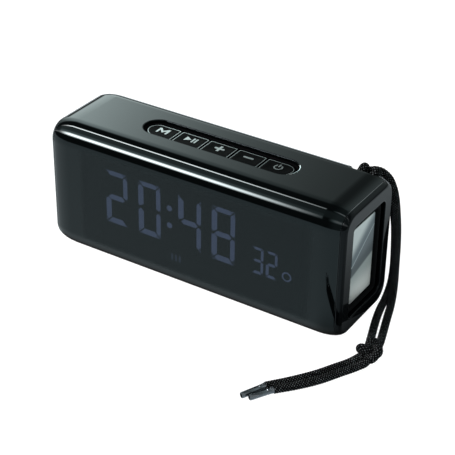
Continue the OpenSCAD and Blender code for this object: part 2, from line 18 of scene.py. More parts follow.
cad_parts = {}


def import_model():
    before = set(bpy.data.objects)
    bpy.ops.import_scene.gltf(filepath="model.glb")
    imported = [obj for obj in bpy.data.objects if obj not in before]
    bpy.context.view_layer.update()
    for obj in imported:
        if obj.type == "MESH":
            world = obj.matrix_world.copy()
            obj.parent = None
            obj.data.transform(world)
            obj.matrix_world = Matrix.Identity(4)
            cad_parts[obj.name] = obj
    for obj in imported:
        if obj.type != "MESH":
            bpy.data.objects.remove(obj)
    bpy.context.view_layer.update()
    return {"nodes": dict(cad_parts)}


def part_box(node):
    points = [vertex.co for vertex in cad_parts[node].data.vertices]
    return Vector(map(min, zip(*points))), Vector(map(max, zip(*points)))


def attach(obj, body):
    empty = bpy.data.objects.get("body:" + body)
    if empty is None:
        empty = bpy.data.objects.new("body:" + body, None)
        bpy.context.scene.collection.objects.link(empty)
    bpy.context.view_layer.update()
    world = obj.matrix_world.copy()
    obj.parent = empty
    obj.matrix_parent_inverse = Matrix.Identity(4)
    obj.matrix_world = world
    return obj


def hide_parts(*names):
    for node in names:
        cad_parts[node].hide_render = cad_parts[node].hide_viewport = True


LOG = logging.getLogger("clock_radio")
MM = 0.001
CREASE = math.radians(35)
Pair = tuple[float, float]
Box = tuple[float, float, float]
Colour = tuple[float, float, float]
Point = tuple[float, float, float]
Route = tuple[Point, ...]
Outline = list[Pair]
Piece = bpy.types.Object
Nodes = Mapping[str, Piece]
Socket = bpy.types.NodeSocket
Feeds = dict[str, object]


# ---------------------------------------------------------------- shader maths


class Signal:
    """A number that changes over a surface: one output socket with arithmetic."""

    def __init__(self, recipe: Recipe, socket: Socket) -> None:
        """Keeps the socket and the recipe that it belongs to."""
        self.recipe = recipe
        self.socket = socket

    def _with(self, operation: str, *values: object) -> Signal:
        """Adds one Math node that takes these values in order."""
        return self.recipe.maths(operation, *values)

    def __add__(self, other: object) -> Signal:
        """self + other."""
        return self._with("ADD", self, other)

    def __radd__(self, other: object) -> Signal:
        """other + self."""
        return self._with("ADD", other, self)

    def __sub__(self, other: object) -> Signal:
        """self - other."""
        return self._with("SUBTRACT", self, other)

    def __rsub__(self, other: object) -> Signal:
        """other - self."""
        return self._with("SUBTRACT", other, self)

    def __mul__(self, other: object) -> Signal:
        """self * other."""
        return self._with("MULTIPLY", self, other)

    def __rmul__(self, other: object) -> Signal:
        """other * self."""
        return self._with("MULTIPLY", other, self)

    def __truediv__(self, other: object) -> Signal:
        """self / other."""
        return self._with("DIVIDE", self, other)

    def __abs__(self) -> Signal:
        """The size of the number without its sign."""
        return self._with("ABSOLUTE", self)

    def __gt__(self, other: object) -> Signal:
        """1 where self is greater than other, else 0."""
        return self._with("GREATER_THAN", self, other)

    def __lt__(self, other: object) -> Signal:
        """1 where self is less than other, else 0."""
        return self._with("LESS_THAN", self, other)

    def sine(self) -> Signal:
        """The sine, of an angle in radians."""
        return self._with("SINE", self)

    def exponent(self) -> Signal:
        """e to the power of self."""
        return self._with("EXPONENT", self)

    def root(self) -> Signal:
        """The square root."""
        return self._with("SQRT", self)

    def sign(self) -> Signal:
        """1 for a positive number, -1 for a negative one."""
        return self._with("SIGN", self)

    def wrap(self) -> Signal:
        """The part after the decimal point."""
        return self._with("FRACT", self)

    def least(self, other: object) -> Signal:
        """The smaller of self and other."""
        return self._with("MINIMUM", self, other)

    def most(self, other: object) -> Signal:
        """The larger of self and other."""
        return self._with("MAXIMUM", self, other)

    def rise(self, low: float, high: float) -> Signal:
        """0 below low and 1 above high, with a smooth step between."""
        node = self.recipe.node(
            "ShaderNodeMapRange",
            {"interpolation_type": "SMOOTHSTEP"},
            {"Value": self, "From Min": low, "From Max": high},
        )
        return Signal(self.recipe, node.outputs["Result"])

    def band(self, centre: float, half: float, soft: float) -> Signal:
        """1 within half of centre, falling to 0 over a further soft."""
        return 1 - abs(self - centre).rise(half, half + soft)


class Recipe:
    """One node tree, and the few ways in which nodes are added to it."""

    def __init__(self, tree: bpy.types.NodeTree) -> None:
        """Empties the tree and keeps it."""
        self.tree = tree
        tree.nodes.clear()

    def node(
        self,
        kind: str,
        settings: Mapping[str, object] | None = None,
        inputs: Mapping[str | int, object] | None = None,
    ) -> bpy.types.Node:
        """Adds a node of any kind.

        Args:
            kind: The node's type name.
            settings: Its own settings, set first.
            inputs: Values or links for its sockets, by name or place.

        Returns:
            The new node.
        """
        made = self.tree.nodes.new(kind)
        for name, value in (settings or {}).items():
            setattr(made, name, value)
        for name, value in (inputs or {}).items():
            self.feed(made.inputs[name], value)
        return made

    def feed(self, socket: Socket, value: object) -> None:
        """Links a signal or socket to an input, or sets a plain value on it."""
        if isinstance(value, Signal):
            self.tree.links.new(value.socket, socket)
        elif isinstance(value, Socket):
            self.tree.links.new(value, socket)
        elif isinstance(value, (tuple, list)) and socket.type == "RGBA":
            socket.default_value = (*value[:3], 1)
        else:
            socket.default_value = value

    def maths(self, operation: str, *values: object) -> Signal:
        """Adds a Math node and gives its result."""
        inputs = dict(enumerate(values))
        made = self.node("ShaderNodeMath", {"operation": operation}, inputs)
        return Signal(self, made.outputs[0])

    def vector(self, operation: str, *values: object) -> bpy.types.Node:
        """Adds a Vector Math node that takes these values in order."""
        inputs = dict(enumerate(values))
        return self.node("ShaderNodeVectorMath", {"operation": operation}, inputs)

    def blend(self, factor: object, first: object, second: object) -> Socket:
        """Mixes two colours: a factor of 0 gives the first and 1 the second."""
        inputs = {0: factor, 6: first, 7: second}
        return self.node("ShaderNodeMix", {"data_type": "RGBA"}, inputs).outputs[2]

    def spot(self, output: str = "Object") -> Socket:
        """The place on the surface, as one of the Texture Coordinate outputs."""
        return self.node("ShaderNodeTexCoord").outputs[output]

    def place(self, output: str = "Object") -> tuple[Signal, Signal, Signal]:
        """The three parts of the place on the surface."""
        outs = self.node("ShaderNodeSeparateXYZ", {}, {0: self.spot(output)}).outputs
        return Signal(self, outs[0]), Signal(self, outs[1]), Signal(self, outs[2])

    def noise(self, scale: float, detail: float = 3, stretch: Point = (1, 1, 1)) -> Signal:
        """Cloudy noise about 0.5.

        Args:
            scale: How many clouds there are to the metre.
            detail: How many finer layers are added.
            stretch: Scale of each axis, for grain that runs one way.

        Returns:
            The noise.
        """
        place = self.vector("MULTIPLY", self.spot(), stretch).outputs[0]
        inputs = {"Vector": place, "Scale": scale, "Detail": detail}
        return Signal(self, self.node("ShaderNodeTexNoise", {}, inputs).outputs["Fac"])

    def cells(self, scale: float, output: str = "Distance") -> Signal:
        """Rounded cells, such as moulded grain, at so many to the metre."""
        made = self.node("ShaderNodeTexVoronoi", {}, {"Vector": self.spot(), "Scale": scale})
        return Signal(self, made.outputs[output])

    def bump(self, height: Signal, distance: float, over: Socket | None = None) -> Socket:
        """A normal that raises the surface by height times distance.

        Args:
            height: The relief, about 0 to 1.
            distance: How far 1 stands above 0, in metres.
            over: The normal to start from, where it is not the mesh's own.

        Returns:
            The normal's socket.
        """
        inputs = {"Height": height, "Distance": distance, "Strength": 1.0}
        if over:
            inputs["Normal"] = over
        return self.node("ShaderNodeBump", {}, inputs).outputs[0]

    def coat(
        self, share: Signal, under: Socket, colour: Colour, roughness: float, ior: float
    ) -> Socket:
        """Lays a plain surface over another.

        Args:
            share: How much of the plain surface shows, from 0 to 1.
            under: The shader beneath.
            colour: The plain surface's colour.
            roughness: Its roughness.
            ior: Its index of refraction.

        Returns:
            The mixed shader's socket.
        """
        plain = {"Base Color": colour, "Roughness": roughness, "IOR": ior}
        top = self.node("ShaderNodeBsdfPrincipled", {}, plain).outputs[0]
        return self.node("ShaderNodeMixShader", {}, {0: share, 1: under, 2: top}).outputs[0]


# -------------------------------------------------------------------- finishes


@dataclass(frozen=True)
class Finish:
    """A procedural surface: plain settings here, what varies in paint()."""

    name: str
    colour: Colour
    roughness: float = 0.4
    metallic: float = 0.0
    ior: float = 1.45
    tint: Colour = (1.0, 1.0, 1.0)

    def shade(self, times: float) -> Colour:
        """The finish's colour, so many times as bright."""
        return tuple(c * times for c in self.colour)

    def paint(self, r: Recipe) -> Feeds:
        """What goes into the shader's sockets: on the plain finish, faint clouds."""
        cloud = r.noise(400)
        return {
            "Base Color": r.blend(cloud, self.shade(0.85), self.colour),
            "Roughness": self.roughness + (cloud - 0.5) * 0.1,
        }

    def over(self, r: Recipe, under: Socket) -> Socket:
        """What is laid over the finished surface; nothing on most finishes."""
        return under

    def material(self) -> bpy.types.Material:
        """The material, made once and then shared."""
        made = bpy.data.materials.get(self.name)
        if made:
            return made
        made = bpy.data.materials.new(self.name)
        made.use_nodes = True
        made.diffuse_color = (*self.colour, 1)
        made.roughness, made.metallic = self.roughness, self.metallic
        r = Recipe(made.node_tree)
        plain = {
            "Base Color": self.colour,
            "Roughness": self.roughness,
            "Metallic": self.metallic,
            "IOR": self.ior,
            "Specular Tint": self.tint,
        }
        shader = r.node("ShaderNodeBsdfPrincipled", {}, plain)
        for socket, value in self.paint(r).items():
            r.feed(shader.inputs[socket], value)
        r.node("ShaderNodeOutputMaterial", {}, {"Surface": self.over(r, shader.outputs[0])})
        return made

    def on(self, *pieces: Piece) -> None:
        """Puts this finish on pieces or frame nodes."""
        for item in pieces:
            item.data.materials.clear()
            item.data.materials.append(self.material())


@dataclass(frozen=True)
class PianoGloss(Finish):
    """Clear-lacquered black with a trace of dust and flow in the lacquer."""

    flow: float = 0.000004

    def relief(self, r: Recipe, wave: Signal, speck: Signal) -> Socket:
        """The normal of the lacquer's waves and specks."""
        return r.bump(wave + speck * 0.02, self.flow)

    def paint(self, r: Recipe) -> Feeds:
        """Adds slow waves in the lacquer and a few duller specks."""
        speck = r.cells(900).band(0, 0.05, 0.04)
        wave = r.noise(60, 2)
        return {
            "Base Color": r.blend(wave, self.colour, self.shade(1.4)),
            "Roughness": self.roughness + speck * 0.05 + (wave - 0.5) * 0.02,
            "Normal": self.relief(r, wave, speck),
        }


@dataclass(frozen=True)
class BarGloss(PianoGloss):
    """Piano gloss that flows round the bar's long edges and its drawn-in ends.

    flat is half the flat part of the section, deep and high, about middle. run
    is where an end starts to draw in and over what length, and draw how far.
    alike is how near a face must lie to the true form to take its normal, and
    seam is where the end cap meets the shell, with the groove's half width.
    """

    flat: Pair = (0.0145, 0.0238)
    middle: float = 0.0352
    run: Pair = (0.070, 0.012)
    draw: float = 0.0043
    alike: float = 0.93
    seam: Pair = (0.07955, 0.00012)

    def _form(self, r: Recipe) -> Socket:
        """The normal of the bar's true form, kept only on its outer faces."""
        x, y, z = r.place()
        z = z - self.middle
        deep = y - y.most(-self.flat[0]).least(self.flat[0])
        high = z - z.most(-self.flat[1]).least(self.flat[1])
        reach = (deep * deep + high * high).root().most(1e-6)
        share = ((abs(x) - self.run[0]) / self.run[1]).most(0).least(1)
        out = (1 - share * share).root() / self.draw / reach
        parts = {0: x.sign() * share / self.run[1], 1: out * deep, 2: out * high}
        form = r.node("ShaderNodeCombineXYZ", {}, parts).outputs[0]
        turn = {"vector_type": "NORMAL", "convert_from": "OBJECT", "convert_to": "WORLD"}
        form = r.vector("NORMALIZE", form).outputs[0]
        form = r.node("ShaderNodeVectorTransform", turn, {0: form}).outputs[0]
        own = r.node("ShaderNodeNewGeometry").outputs["Normal"]
        match = Signal(r, r.vector("DOT_PRODUCT", form, own).outputs["Value"]) > self.alike
        inputs = {0: match, 4: own, 5: form}
        return r.node("ShaderNodeMix", {"data_type": "VECTOR"}, inputs).outputs[1]

    def relief(self, r: Recipe, wave: Signal, speck: Signal) -> Socket:
        """The lacquer's waves, over the bar's form and the groove at each seam."""
        groove = 1 - abs(r.place()[0]).band(*self.seam, 0.00022)
        return r.bump(wave, self.flow, over=r.bump(groove, 0.00022, over=self._form(r)))


@dataclass(frozen=True)
class CapGloss(BarGloss):
    """Gloss of the end caps, with painted shade on the end face."""

    face: Pair = (0.0808, 0.0814)
    climb: Pair = (0.02, 0.066)

    def over(self, r: Recipe, under: Socket) -> Socket:
        """Lays a dull dark coat over the end face as painted shade, darkest low down."""
        x, _, z = r.place()
        # painted shade: a dark dull coat on the end face, 0.7 low down easing to 0.2 at the top
        painted_shade_level = abs(x).rise(*self.face) * (0.7 - z.rise(*self.climb) * 0.5)
        return r.coat(painted_shade_level, under, (0.003, 0.0035, 0.0038), 0.5, 1.04)


@dataclass(frozen=True)
class SmokedGloss(BarGloss):
    """Gloss of the shell, with a display window and painted shade on the wall of the key
    recess.

    Each place is a middle and half a size; front is where the front wall starts.
    """

    window_x: Pair = (0.002, 0.062)
    window_z: Pair = (0.035, 0.023)
    front: float = -0.0228
    clear: float = 0.16
    recess_x: Pair = (0.0014, 0.0426)
    recess_y: Pair = (0, 0.0076)
    recess_z: Pair = (0.066, 0.00345)

    def paint(self, r: Recipe) -> Feeds:
        """Adds the window, as less cover in a rounded field of the front wall."""
        x, y, z = r.place()
        window = x.band(*self.window_x, 0.004) * z.band(*self.window_z, 0.003)
        return super().paint(r) | {"Alpha": 1 - window * (y < self.front) * self.clear}

    def over(self, r: Recipe, under: Socket) -> Socket:
        """Lays a dull dark coat on the wall of the key recess as painted shade."""
        x, y, z = r.place()
        # painted shade: a dull dark coat over the wall of the key recess
        wall = x.band(*self.recess_x, 0.0002) * y.band(*self.recess_y, 0.0001)
        wall = wall * z.band(*self.recess_z, 0.0001)
        return r.coat(wall, under, (0.0008, 0.0012, 0.0013), 0.6, 1.01)


@dataclass(frozen=True)
class RimGloss(PianoGloss):
    """Gloss rim of the key recess, with a painted highlight at the right-hand end."""

    # Where the painted highlight starts along the rim, and its colour.
    highlight_x: Pair = (0.0417, 0.0425)
    bright: Colour = (0.75, 0.78, 0.78)

    def paint(self, r: Recipe) -> Feeds:
        """Adds the painted highlight on the rim's right-hand end, as bright metal."""
        x, y, _ = r.place()
        # painted highlight: bright metal on the rim's right-hand end
        painted_highlight = x.rise(*self.highlight_x) * y.band(0.0002, 0.0036, 0.0024)
        feeds = super().paint(r)
        painted_light_tone = r.blend(painted_highlight, feeds["Base Color"], self.bright)
        return feeds | {"Base Color": painted_light_tone, "Metallic": painted_highlight}


@dataclass(frozen=True)
class FoilWithPaintedLight(Finish):
    """Hot foil, darker towards the right-hand keys as painted shade.

    The painted shade leaves a set share of its brightness on the last key. side and
    front are how much of the painted highlight lies along a key's sides and its
    front edge; the rear edge has it all.
    """

    span: Pair = (-0.036, 0.040)
    rear_y: Pair = (0.003, 0.0048)
    front_y: Pair = (-0.0062, -0.005)
    painted_shade_level: float = 0.25
    side: float = 1.0
    front: float = 1.0

    def paint(self, r: Recipe) -> Feeds:
        """Adds the painted shade along the row, the painted highlight across each key and a
        fine scuff.
        """
        x, y, _ = r.place()
        scuff = r.noise(3500, 2).rise(0.3, 0.6) * 0.25 + 0.75
        # painted shade: the foil darkens towards the right-hand keys
        fade = 1 - x.rise(*self.span) * (1 - self.painted_shade_level)
        # painted highlight: all of it on the rear edge, less on the sides and front
        rear, near = y.rise(*self.rear_y), 1 - y.rise(*self.front_y)
        place = rear + (1 - rear) * self.side * (1 - near) + near * self.front * self.side
        level = fade * place * scuff
        return {
            "Base Color": r.blend(level, (0.01, 0.01, 0.011), self.colour),
            "Metallic": level.rise(0.0, 0.2),
        }


@dataclass(frozen=True)
class SatinPlastic(Finish):
    """Spark-eroded black plastic with a fine even grain."""

    grain: float = 2600.0
    depth: float = 0.00003

    def paint(self, r: Recipe) -> Feeds:
        """Adds the moulded grain and slightly polished high spots."""
        pit, cloud = r.cells(self.grain), r.noise(90)
        return {
            "Base Color": r.blend(cloud, self.colour, self.shade(1.5)),
            "Roughness": self.roughness + pit * 0.12 + cloud * 0.08,
            "Normal": r.bump(pit, self.depth),
        }


@dataclass(frozen=True)
class SoftRubber(Finish):
    """Moulded rubber with a faint bloom and a few specks of dust."""

    dust: Colour = (0.05, 0.055, 0.06)

    def paint(self, r: Recipe) -> Feeds:
        """Adds the bloom, the dust and a fine tooth."""
        bloom = r.noise(140, 4)
        dust = r.cells(1500).band(0, 0.07, 0.05)
        base = r.blend(bloom, self.colour, self.shade(1.9))
        return {
            "Base Color": r.blend(dust * 0.25, base, self.dust),
            "Roughness": self.roughness + bloom * 0.15,
            "Normal": r.bump(r.noise(1800, 2), 0.00002),
        }


@dataclass(frozen=True)
class PlateWithPaintedReflection(Finish):
    """Bright rolled plate, with painted reflections in slanting bands.

    Two slanting lines part the bands; each has its height in millimetres at the
    middle of the plate, and its slope.
    """

    upper: Pair = (41.95, 0.683)
    lower: Pair = (31.9, 0.226)

    def paint(self, r: Recipe) -> Feeds:
        """Adds the painted reflections in slanting bands, a painted highlight on the upper
        line, and the fine lines along them.
        """
        _, y, z = r.place()
        y, z = y / MM, z / MM
        run = z - self.upper[0] - y * self.upper[1]
        fan = z - self.lower[0] - y * self.lower[1]
        # painted reflection: bright to grey below the lower line, a dark band between the
        # lines, dark to pale above the upper line
        low = r.blend(z.rise(15.0, 31.0), (0.95, 0.93, 0.87), (0.31, 0.34, 0.32))
        high = r.blend(run.rise(3.0, 11.0), (0.095, 0.12, 0.13), (0.46, 0.49, 0.47))
        painted_reflection_wedge = r.blend(fan.rise(3.0, 9.0), (0.055, 0.07, 0.075), (0.1, 0.12, 0.13))
        painted_light_tone = r.blend(fan.rise(-0.9, 0.9), low, painted_reflection_wedge)
        painted_light_tone = r.blend(run.rise(-0.2, 0.5), painted_light_tone, high)
        line = (run * 9 + r.noise(200) * 3).sine()
        return {
            # painted highlight: a pale line along the upper parting line
            "Base Color": r.blend(run.band(0.1, 0.18, 0.35) * 0.8, painted_light_tone, (0.4, 0.44, 0.44)),
            "Roughness": self.roughness + line * 0.02,
            "Normal": r.bump(r.noise(30, 1), 0.00002),
        }


@dataclass(frozen=True)
class DrawnMetal(Finish):
    """Plated metal with fine drawing lines along one axis."""

    along: Point = (0.05, 1.0, 1.0)

    def paint(self, r: Recipe) -> Feeds:
        """Adds the drawing lines and a slightly uneven plating."""
        line = r.noise(6000, 2, self.along)
        return {
            "Base Color": r.blend(r.noise(150), self.shade(0.7), self.colour),
            "Roughness": self.roughness + (line - 0.5) * 0.2,
            "Normal": r.bump(line, 0.000008),
        }


@dataclass(frozen=True)
class Diffuser(Finish):
    """Milky light guide behind the smoked front, glowing faintly."""

    glow: Colour = (0.4, 0.55, 1.0)
    strength: float = 3.0

    def paint(self, r: Recipe) -> Feeds:
        """Adds a glow that is slightly uneven over each lamp."""
        patch = r.noise(220, 1)
        return {
            "Base Color": r.blend(patch, self.colour, (0.6, 0.6, 0.7)),
            "Emission Color": r.blend(patch, tuple(c * 0.75 for c in self.glow), self.glow),
            "Emission Strength": self.strength,
        }


@dataclass(frozen=True)
class SolderMask(Finish):
    """Green board with copper tracks under the mask and tinned pads."""

    tinned: Colour = (0.55, 0.52, 0.45)

    def paint(self, r: Recipe) -> Feeds:
        """Adds square-cornered tracks and rows of round pads."""
        x, y, z = r.place()
        lane = (x * 420 + r.cells(220, "Color") * 2).wrap().band(0.5, 0.16, 0.05)
        cross = ((y + z) * 420 + r.cells(160, "Color") * 2).wrap().band(0.5, 0.12, 0.05)
        track, pad = lane.most(cross), r.cells(380).band(0, 0.16, 0.03)
        base = r.blend(track, self.colour, tuple(c + 0.01 for c in self.shade(1.8)))
        return {
            "Base Color": r.blend(pad, base, self.tinned),
            "Metallic": pad,
            "Roughness": self.roughness - pad * 0.1,
            "Normal": r.bump(track + pad, 0.00003),
        }


@dataclass(frozen=True)
class ShrinkWrap(Finish):
    """Glossy shrink film over a cell, with a pale band near one end."""

    band: Pair = (0.024, 0.0012)
    pale: Colour = (0.7, 0.72, 0.75)

    def paint(self, r: Recipe) -> Feeds:
        """Adds the pale band and the fine shrink wrinkles."""
        ring = r.place()[0].band(*self.band, 0.0003)
        wrinkle = r.noise(700, 3, (0.3, 1, 1))
        return {
            "Base Color": r.blend(ring, self.colour, self.pale),
            "Roughness": self.roughness + wrinkle * 0.1,
            "Normal": r.bump(wrinkle, 0.00005),
        }


@dataclass(frozen=True)
class BraidedYarn(Finish):
    """Tight polyester braid, laid out by turns round and millimetres along."""

    diamonds: int = 8
    pitch: float = 1.25

    def paint(self, r: Recipe) -> Feeds:
        """Adds the crossed strands, their grooves and the yarns in each strand, with a painted
        highlight on the crowns and painted shade in the grooves.
        """
        u, v, _ = r.place("UV")
        turn = u * (math.pi * self.diamonds)
        step = v * (math.pi / self.pitch)
        crown = abs((turn + step).sine()) * abs((turn - step).sine())
        yarn = abs(((turn + step * 0.2) * 4).sine())
        fuzz = r.noise(2500, 2)
        # painted highlight on the strands' crowns; the grooves between stay near black as
        # painted shade
        lit = crown.rise(0.58, 1.0) * (0.35 + yarn * 0.65) * fuzz.rise(0.38, 0.62)
        return {
            "Base Color": r.blend(lit, self.shade(0.008), self.colour),
            "Roughness": self.roughness + fuzz * 0.2,
            "Normal": r.bump(crown + yarn * 0.15 * crown, 0.00028),
        }


@dataclass(frozen=True)
class PaleTable(Finish):
    """A pale seamless table top that lights itself evenly."""

    glow: float = 0.98

    def paint(self, r: Recipe) -> Feeds:
        """Adds the even light and a hardly visible tooth."""
        tooth = r.blend(r.noise(300), (0.985, 0.985, 0.985), (1.0, 1.0, 1.0))
        return {"Emission Color": tooth, "Emission Strength": self.glow}


@dataclass(frozen=True)
class BounceBoard(Finish):
    """What the object's sides reflect: a glowing board, with a painted shadow beneath the
    object.
    """

    half_depth: float = 0.0205
    half_length: float = 0.081
    dim: Colour = (0.02, 0.02, 0.02)
    lit: Colour = (0.88, 1.0, 1.05)

    def paint(self, r: Recipe) -> Feeds:
        """Adds the painted shadow under the object and the one beside its right end, which
        rises slowly towards the right.
        """
        x, y, _ = r.place()
        # painted shadow under the object's footprint
        under = x.band(0, self.half_length, 0.01) * y.band(0, self.half_depth, 0.011)
        # painted shadow beside the object's right end, easing off towards the right
        beside = x.rise(0.085, 0.14) * 0.5 + 0.5
        near = y.rise(-0.06, -0.03) * x.rise(0.06, 0.075)
        level = (1 - under) * (1 - near * (1 - beside))
        return {"Emission Color": r.blend(level, self.dim, self.lit), "Emission Strength": 1.0}


LACQUER = (0.0008, 0.001, 0.0013)
LAMP = (0.3, 0.33, 0.5)
# The shell's finish has painted shade on the wall of the key recess.
GLOSS_SHELL = SmokedGloss(
    "smoked_gloss", (0.0006, 0.0009, 0.001), 0.045, ior=1.33, tint=(0.78, 0.96, 1.0)
)
# The caps' finish has painted shade on the end faces.
GLOSS_CAP = CapGloss("cap_gloss", LACQUER, 0.06, ior=1.23, tint=(0.82, 0.95, 1.0))
GLOSS_BEAD = PianoGloss("bead_gloss", LACQUER, 0.12, ior=1.3, tint=(0.82, 0.95, 1.0))
# The rim's finish has a painted highlight at its right-hand end.
GLOSS_RIM = RimGloss("rim_gloss", LACQUER, 0.12, ior=1.2, tint=(0.7, 0.92, 1.0))
GLOSS_KEY = PianoGloss("key_gloss", (0.0006, 0.0007, 0.0008), 0.2, ior=1.055, flow=0.00001)
SATIN = SatinPlastic("satin_black", (0.014, 0.0145, 0.016), 0.5, ior=1.4)
# mask_black also darkens the key tray, as painted shade in the recess.
MASK_BLACK = SatinPlastic("mask_black", (0.0015, 0.0015, 0.0018), 0.7, ior=1.1)
RUBBER = SoftRubber("soft_rubber", (0.0007, 0.0008, 0.0009), 0.5, ior=1.09)
# The plate's slanting bands are painted reflections.
PLATE = PlateWithPaintedReflection("polished_plate", (0.4, 0.43, 0.43), 0.3, metallic=1.0)
STEEL = DrawnMetal("plated_steel", (0.55, 0.56, 0.58), 0.28, metallic=1.0)
# Both foils darken towards the right-hand keys as painted shade; the edge foil also has a
# painted highlight along the rear edges.
FOIL = FoilWithPaintedLight("hot_foil", (0.62, 0.68, 0.68), 0.28, painted_shade_level=0.5, side=0.5, front=0.3)
SIGN_FOIL = FoilWithPaintedLight("sign_foil", (0.5, 0.54, 0.54), 0.42, painted_shade_level=0.3)
GLOW = Diffuser("lamp_diffuser", LAMP, 0.5)
FAINT_GLOW = Diffuser("faint_diffuser", LAMP, 0.5, strength=1.1)
BOARD = SolderMask("solder_mask", (0.02, 0.12, 0.06), 0.35)
FERRITE = Finish("ferrite", (0.05, 0.05, 0.054), 0.55)
PAPER = SatinPlastic("pressed_paper", (0.03, 0.03, 0.032), 0.75, grain=900.0, depth=0.0001)
CELL = ShrinkWrap("shrink_wrap", (0.04, 0.17, 0.42), 0.3)
# The braid's bright crowns are a painted highlight and its dark grooves painted shade.
BRAID = BraidedYarn("braided_yarn", (0.23, 0.25, 0.26), 0.6, ior=1.05)
CRIMP = DrawnMetal("crimped_tube", (0.13, 0.145, 0.16), 0.24, metallic=1.0)
# The bounce board has a painted shadow beneath the object.
BOUNCE = BounceBoard("bounce_board", (0.1, 0.1, 0.1), 0.8, ior=1.01)
TABLE = PaleTable("pale_table", (0.18, 0.18, 0.18), 0.7, ior=1.01)


# ----------------------------------------------------------------- mesh making


def piece(
    name: str,
    points: Sequence[Sequence[float]],
    faces: Sequence[Sequence[int]],
    smooth: bool = True,
    uvs: Sequence[Pair] | None = None,
) -> Piece:
    """Makes one mesh object in the scene.

    Args:
        name: The object's name.
        points: Corners, in metres.
        faces: Corner numbers of each face.
        smooth: Whether faces shade smoothly, with creases past the CREASE angle.
        uvs: One (across, along) pair for each face corner, in face order.

    Returns:
        The object.
    """
    mesh = bpy.data.meshes.new(name)
    mesh.from_pydata([tuple(p) for p in points], [], [tuple(f) for f in faces])
    mesh.validate()
    if uvs:
        layer = mesh.uv_layers.new(name="lay")
        for loop, uv in zip(layer.data, uvs):
            loop.uv = uv
    for face in mesh.polygons:
        face.use_smooth = smooth
    if smooth and not uvs:
        mesh.set_sharp_from_angle(angle=CREASE)
    mesh.update()
    made = bpy.data.objects.new(name, mesh)
    bpy.context.scene.collection.objects.link(made)
    return made


def settle(made: Piece, finish: Finish, body: str, node: str = "") -> Piece:
    """Dresses a new piece and joins it to the frame.

    Args:
        made: The piece.
        finish: Its finish.
        body: The body that it rides on.
        node: The frame node that it stands for, if there is one.

    Returns:
        The piece.
    """
    finish.on(made)
    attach(made, body)
    if node:
        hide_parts(node)
    return made


def turns(count: int) -> list[float]:
    """So many even angles round a full turn."""
    return [2 * math.pi * i / count for i in range(count)]


class Solid:
    """Collects corners and faces of several islands into one mesh."""

    def __init__(self) -> None:
        """Starts empty."""
        self.points: list[tuple[float, ...]] = []
        self.faces: list[tuple[int, ...]] = []
        self.uvs: list[Pair] = []

    def rings(
        self,
        rings: Sequence[Sequence[Sequence[float]]],
        start: bool = True,
        end: bool = True,
        closed: bool = False,
        turned: bool = False,
    ) -> Solid:
        """Skins a row of rings that have the same number of corners.

        Args:
            rings: The rings, each a closed row of corners.
            start: Whether the first ring is filled.
            end: Whether the last ring is filled.
            closed: Whether the last ring joins the first.
            turned: Whether the faces look the other way.

        Returns:
            This solid.
        """
        base, n = len(self.points), len(rings[0])
        fresh: list[tuple[int, ...]] = []
        for ring in rings:
            self.points.extend(tuple(p) for p in ring)
        for j in range(len(rings) - (0 if closed else 1)):
            a, b = base + j * n, base + ((j + 1) % len(rings)) * n
            for i in range(n):
                k = (i + 1) % n
                fresh.append((a + i, a + k, b + k, b + i))
        if not closed:
            last = base + (len(rings) - 1) * n
            if start:
                fresh.append(tuple(base + i for i in reversed(range(n))))
            if end:
                fresh.append(tuple(last + i for i in range(n)))
        self.faces.extend(tuple(reversed(f)) if turned else f for f in fresh)
        return self

    def prism(self, outline: Outline, low: float, high: float) -> Solid:
        """Adds a flat-topped block with this outline, standing along Z."""
        return self.rings([[(x, y, z) for x, y in outline] for z in (low, high)])

    def build(self, name: str, smooth: bool = True) -> Piece:
        """Makes the object."""
        return piece(name, self.points, self.faces, smooth, self.uvs or None)


def rounded(half_w: float, half_h: float, radius: float, steps: int = 6) -> Outline:
    """A rounded rectangle about the origin, anticlockwise from the right."""
    radius = max(min(radius, half_w - 1e-6, half_h - 1e-6), 1e-5)
    points: Outline = []
    for quarter, (sx, sy) in enumerate(((1, 1), (-1, 1), (-1, -1), (1, -1))):
        for i in range(steps + 1):
            a = math.pi / 2 * (quarter + i / steps)
            x = sx * (half_w - radius) + radius * math.cos(a)
            points.append((x, sy * (half_h - radius) + radius * math.sin(a)))
    return points


def spline(points: Sequence[Point], gap: float) -> list[Vector]:
    """A smooth line through points, in even steps.

    Args:
        points: The points it passes through, in metres.
        gap: The wanted distance between steps.

    Returns:
        The steps, first and last point included.
    """
    ps = [Vector(p) for p in points]
    ps = [2 * ps[0] - ps[1], *ps, 2 * ps[-1] - ps[-2]]
    fine: list[Vector] = []
    for a, b, c, d in zip(ps, ps[1:], ps[2:], ps[3:]):
        bend, twist = 2 * a - 5 * b + 4 * c - d, 3 * b - a - 3 * c + d
        for t in (i / 24 for i in range(24)):
            fine.append(0.5 * (2 * b + (c - a) * t + bend * t * t + twist * t**3))
    fine.append(ps[-2])
    run = [0.0]
    for a, b in zip(fine, fine[1:]):
        run.append(run[-1] + (b - a).length)
    count = max(2, round(run[-1] / gap))
    even, j = [], 0
    for i in range(count + 1):
        want = run[-1] * i / count
        while j < len(run) - 2 and run[j + 1] < want:
            j += 1
        share = (want - run[j]) / max(run[j + 1] - run[j], 1e-12)
        even.append(fine[j].lerp(fine[j + 1], min(max(share, 0), 1)))
    return even


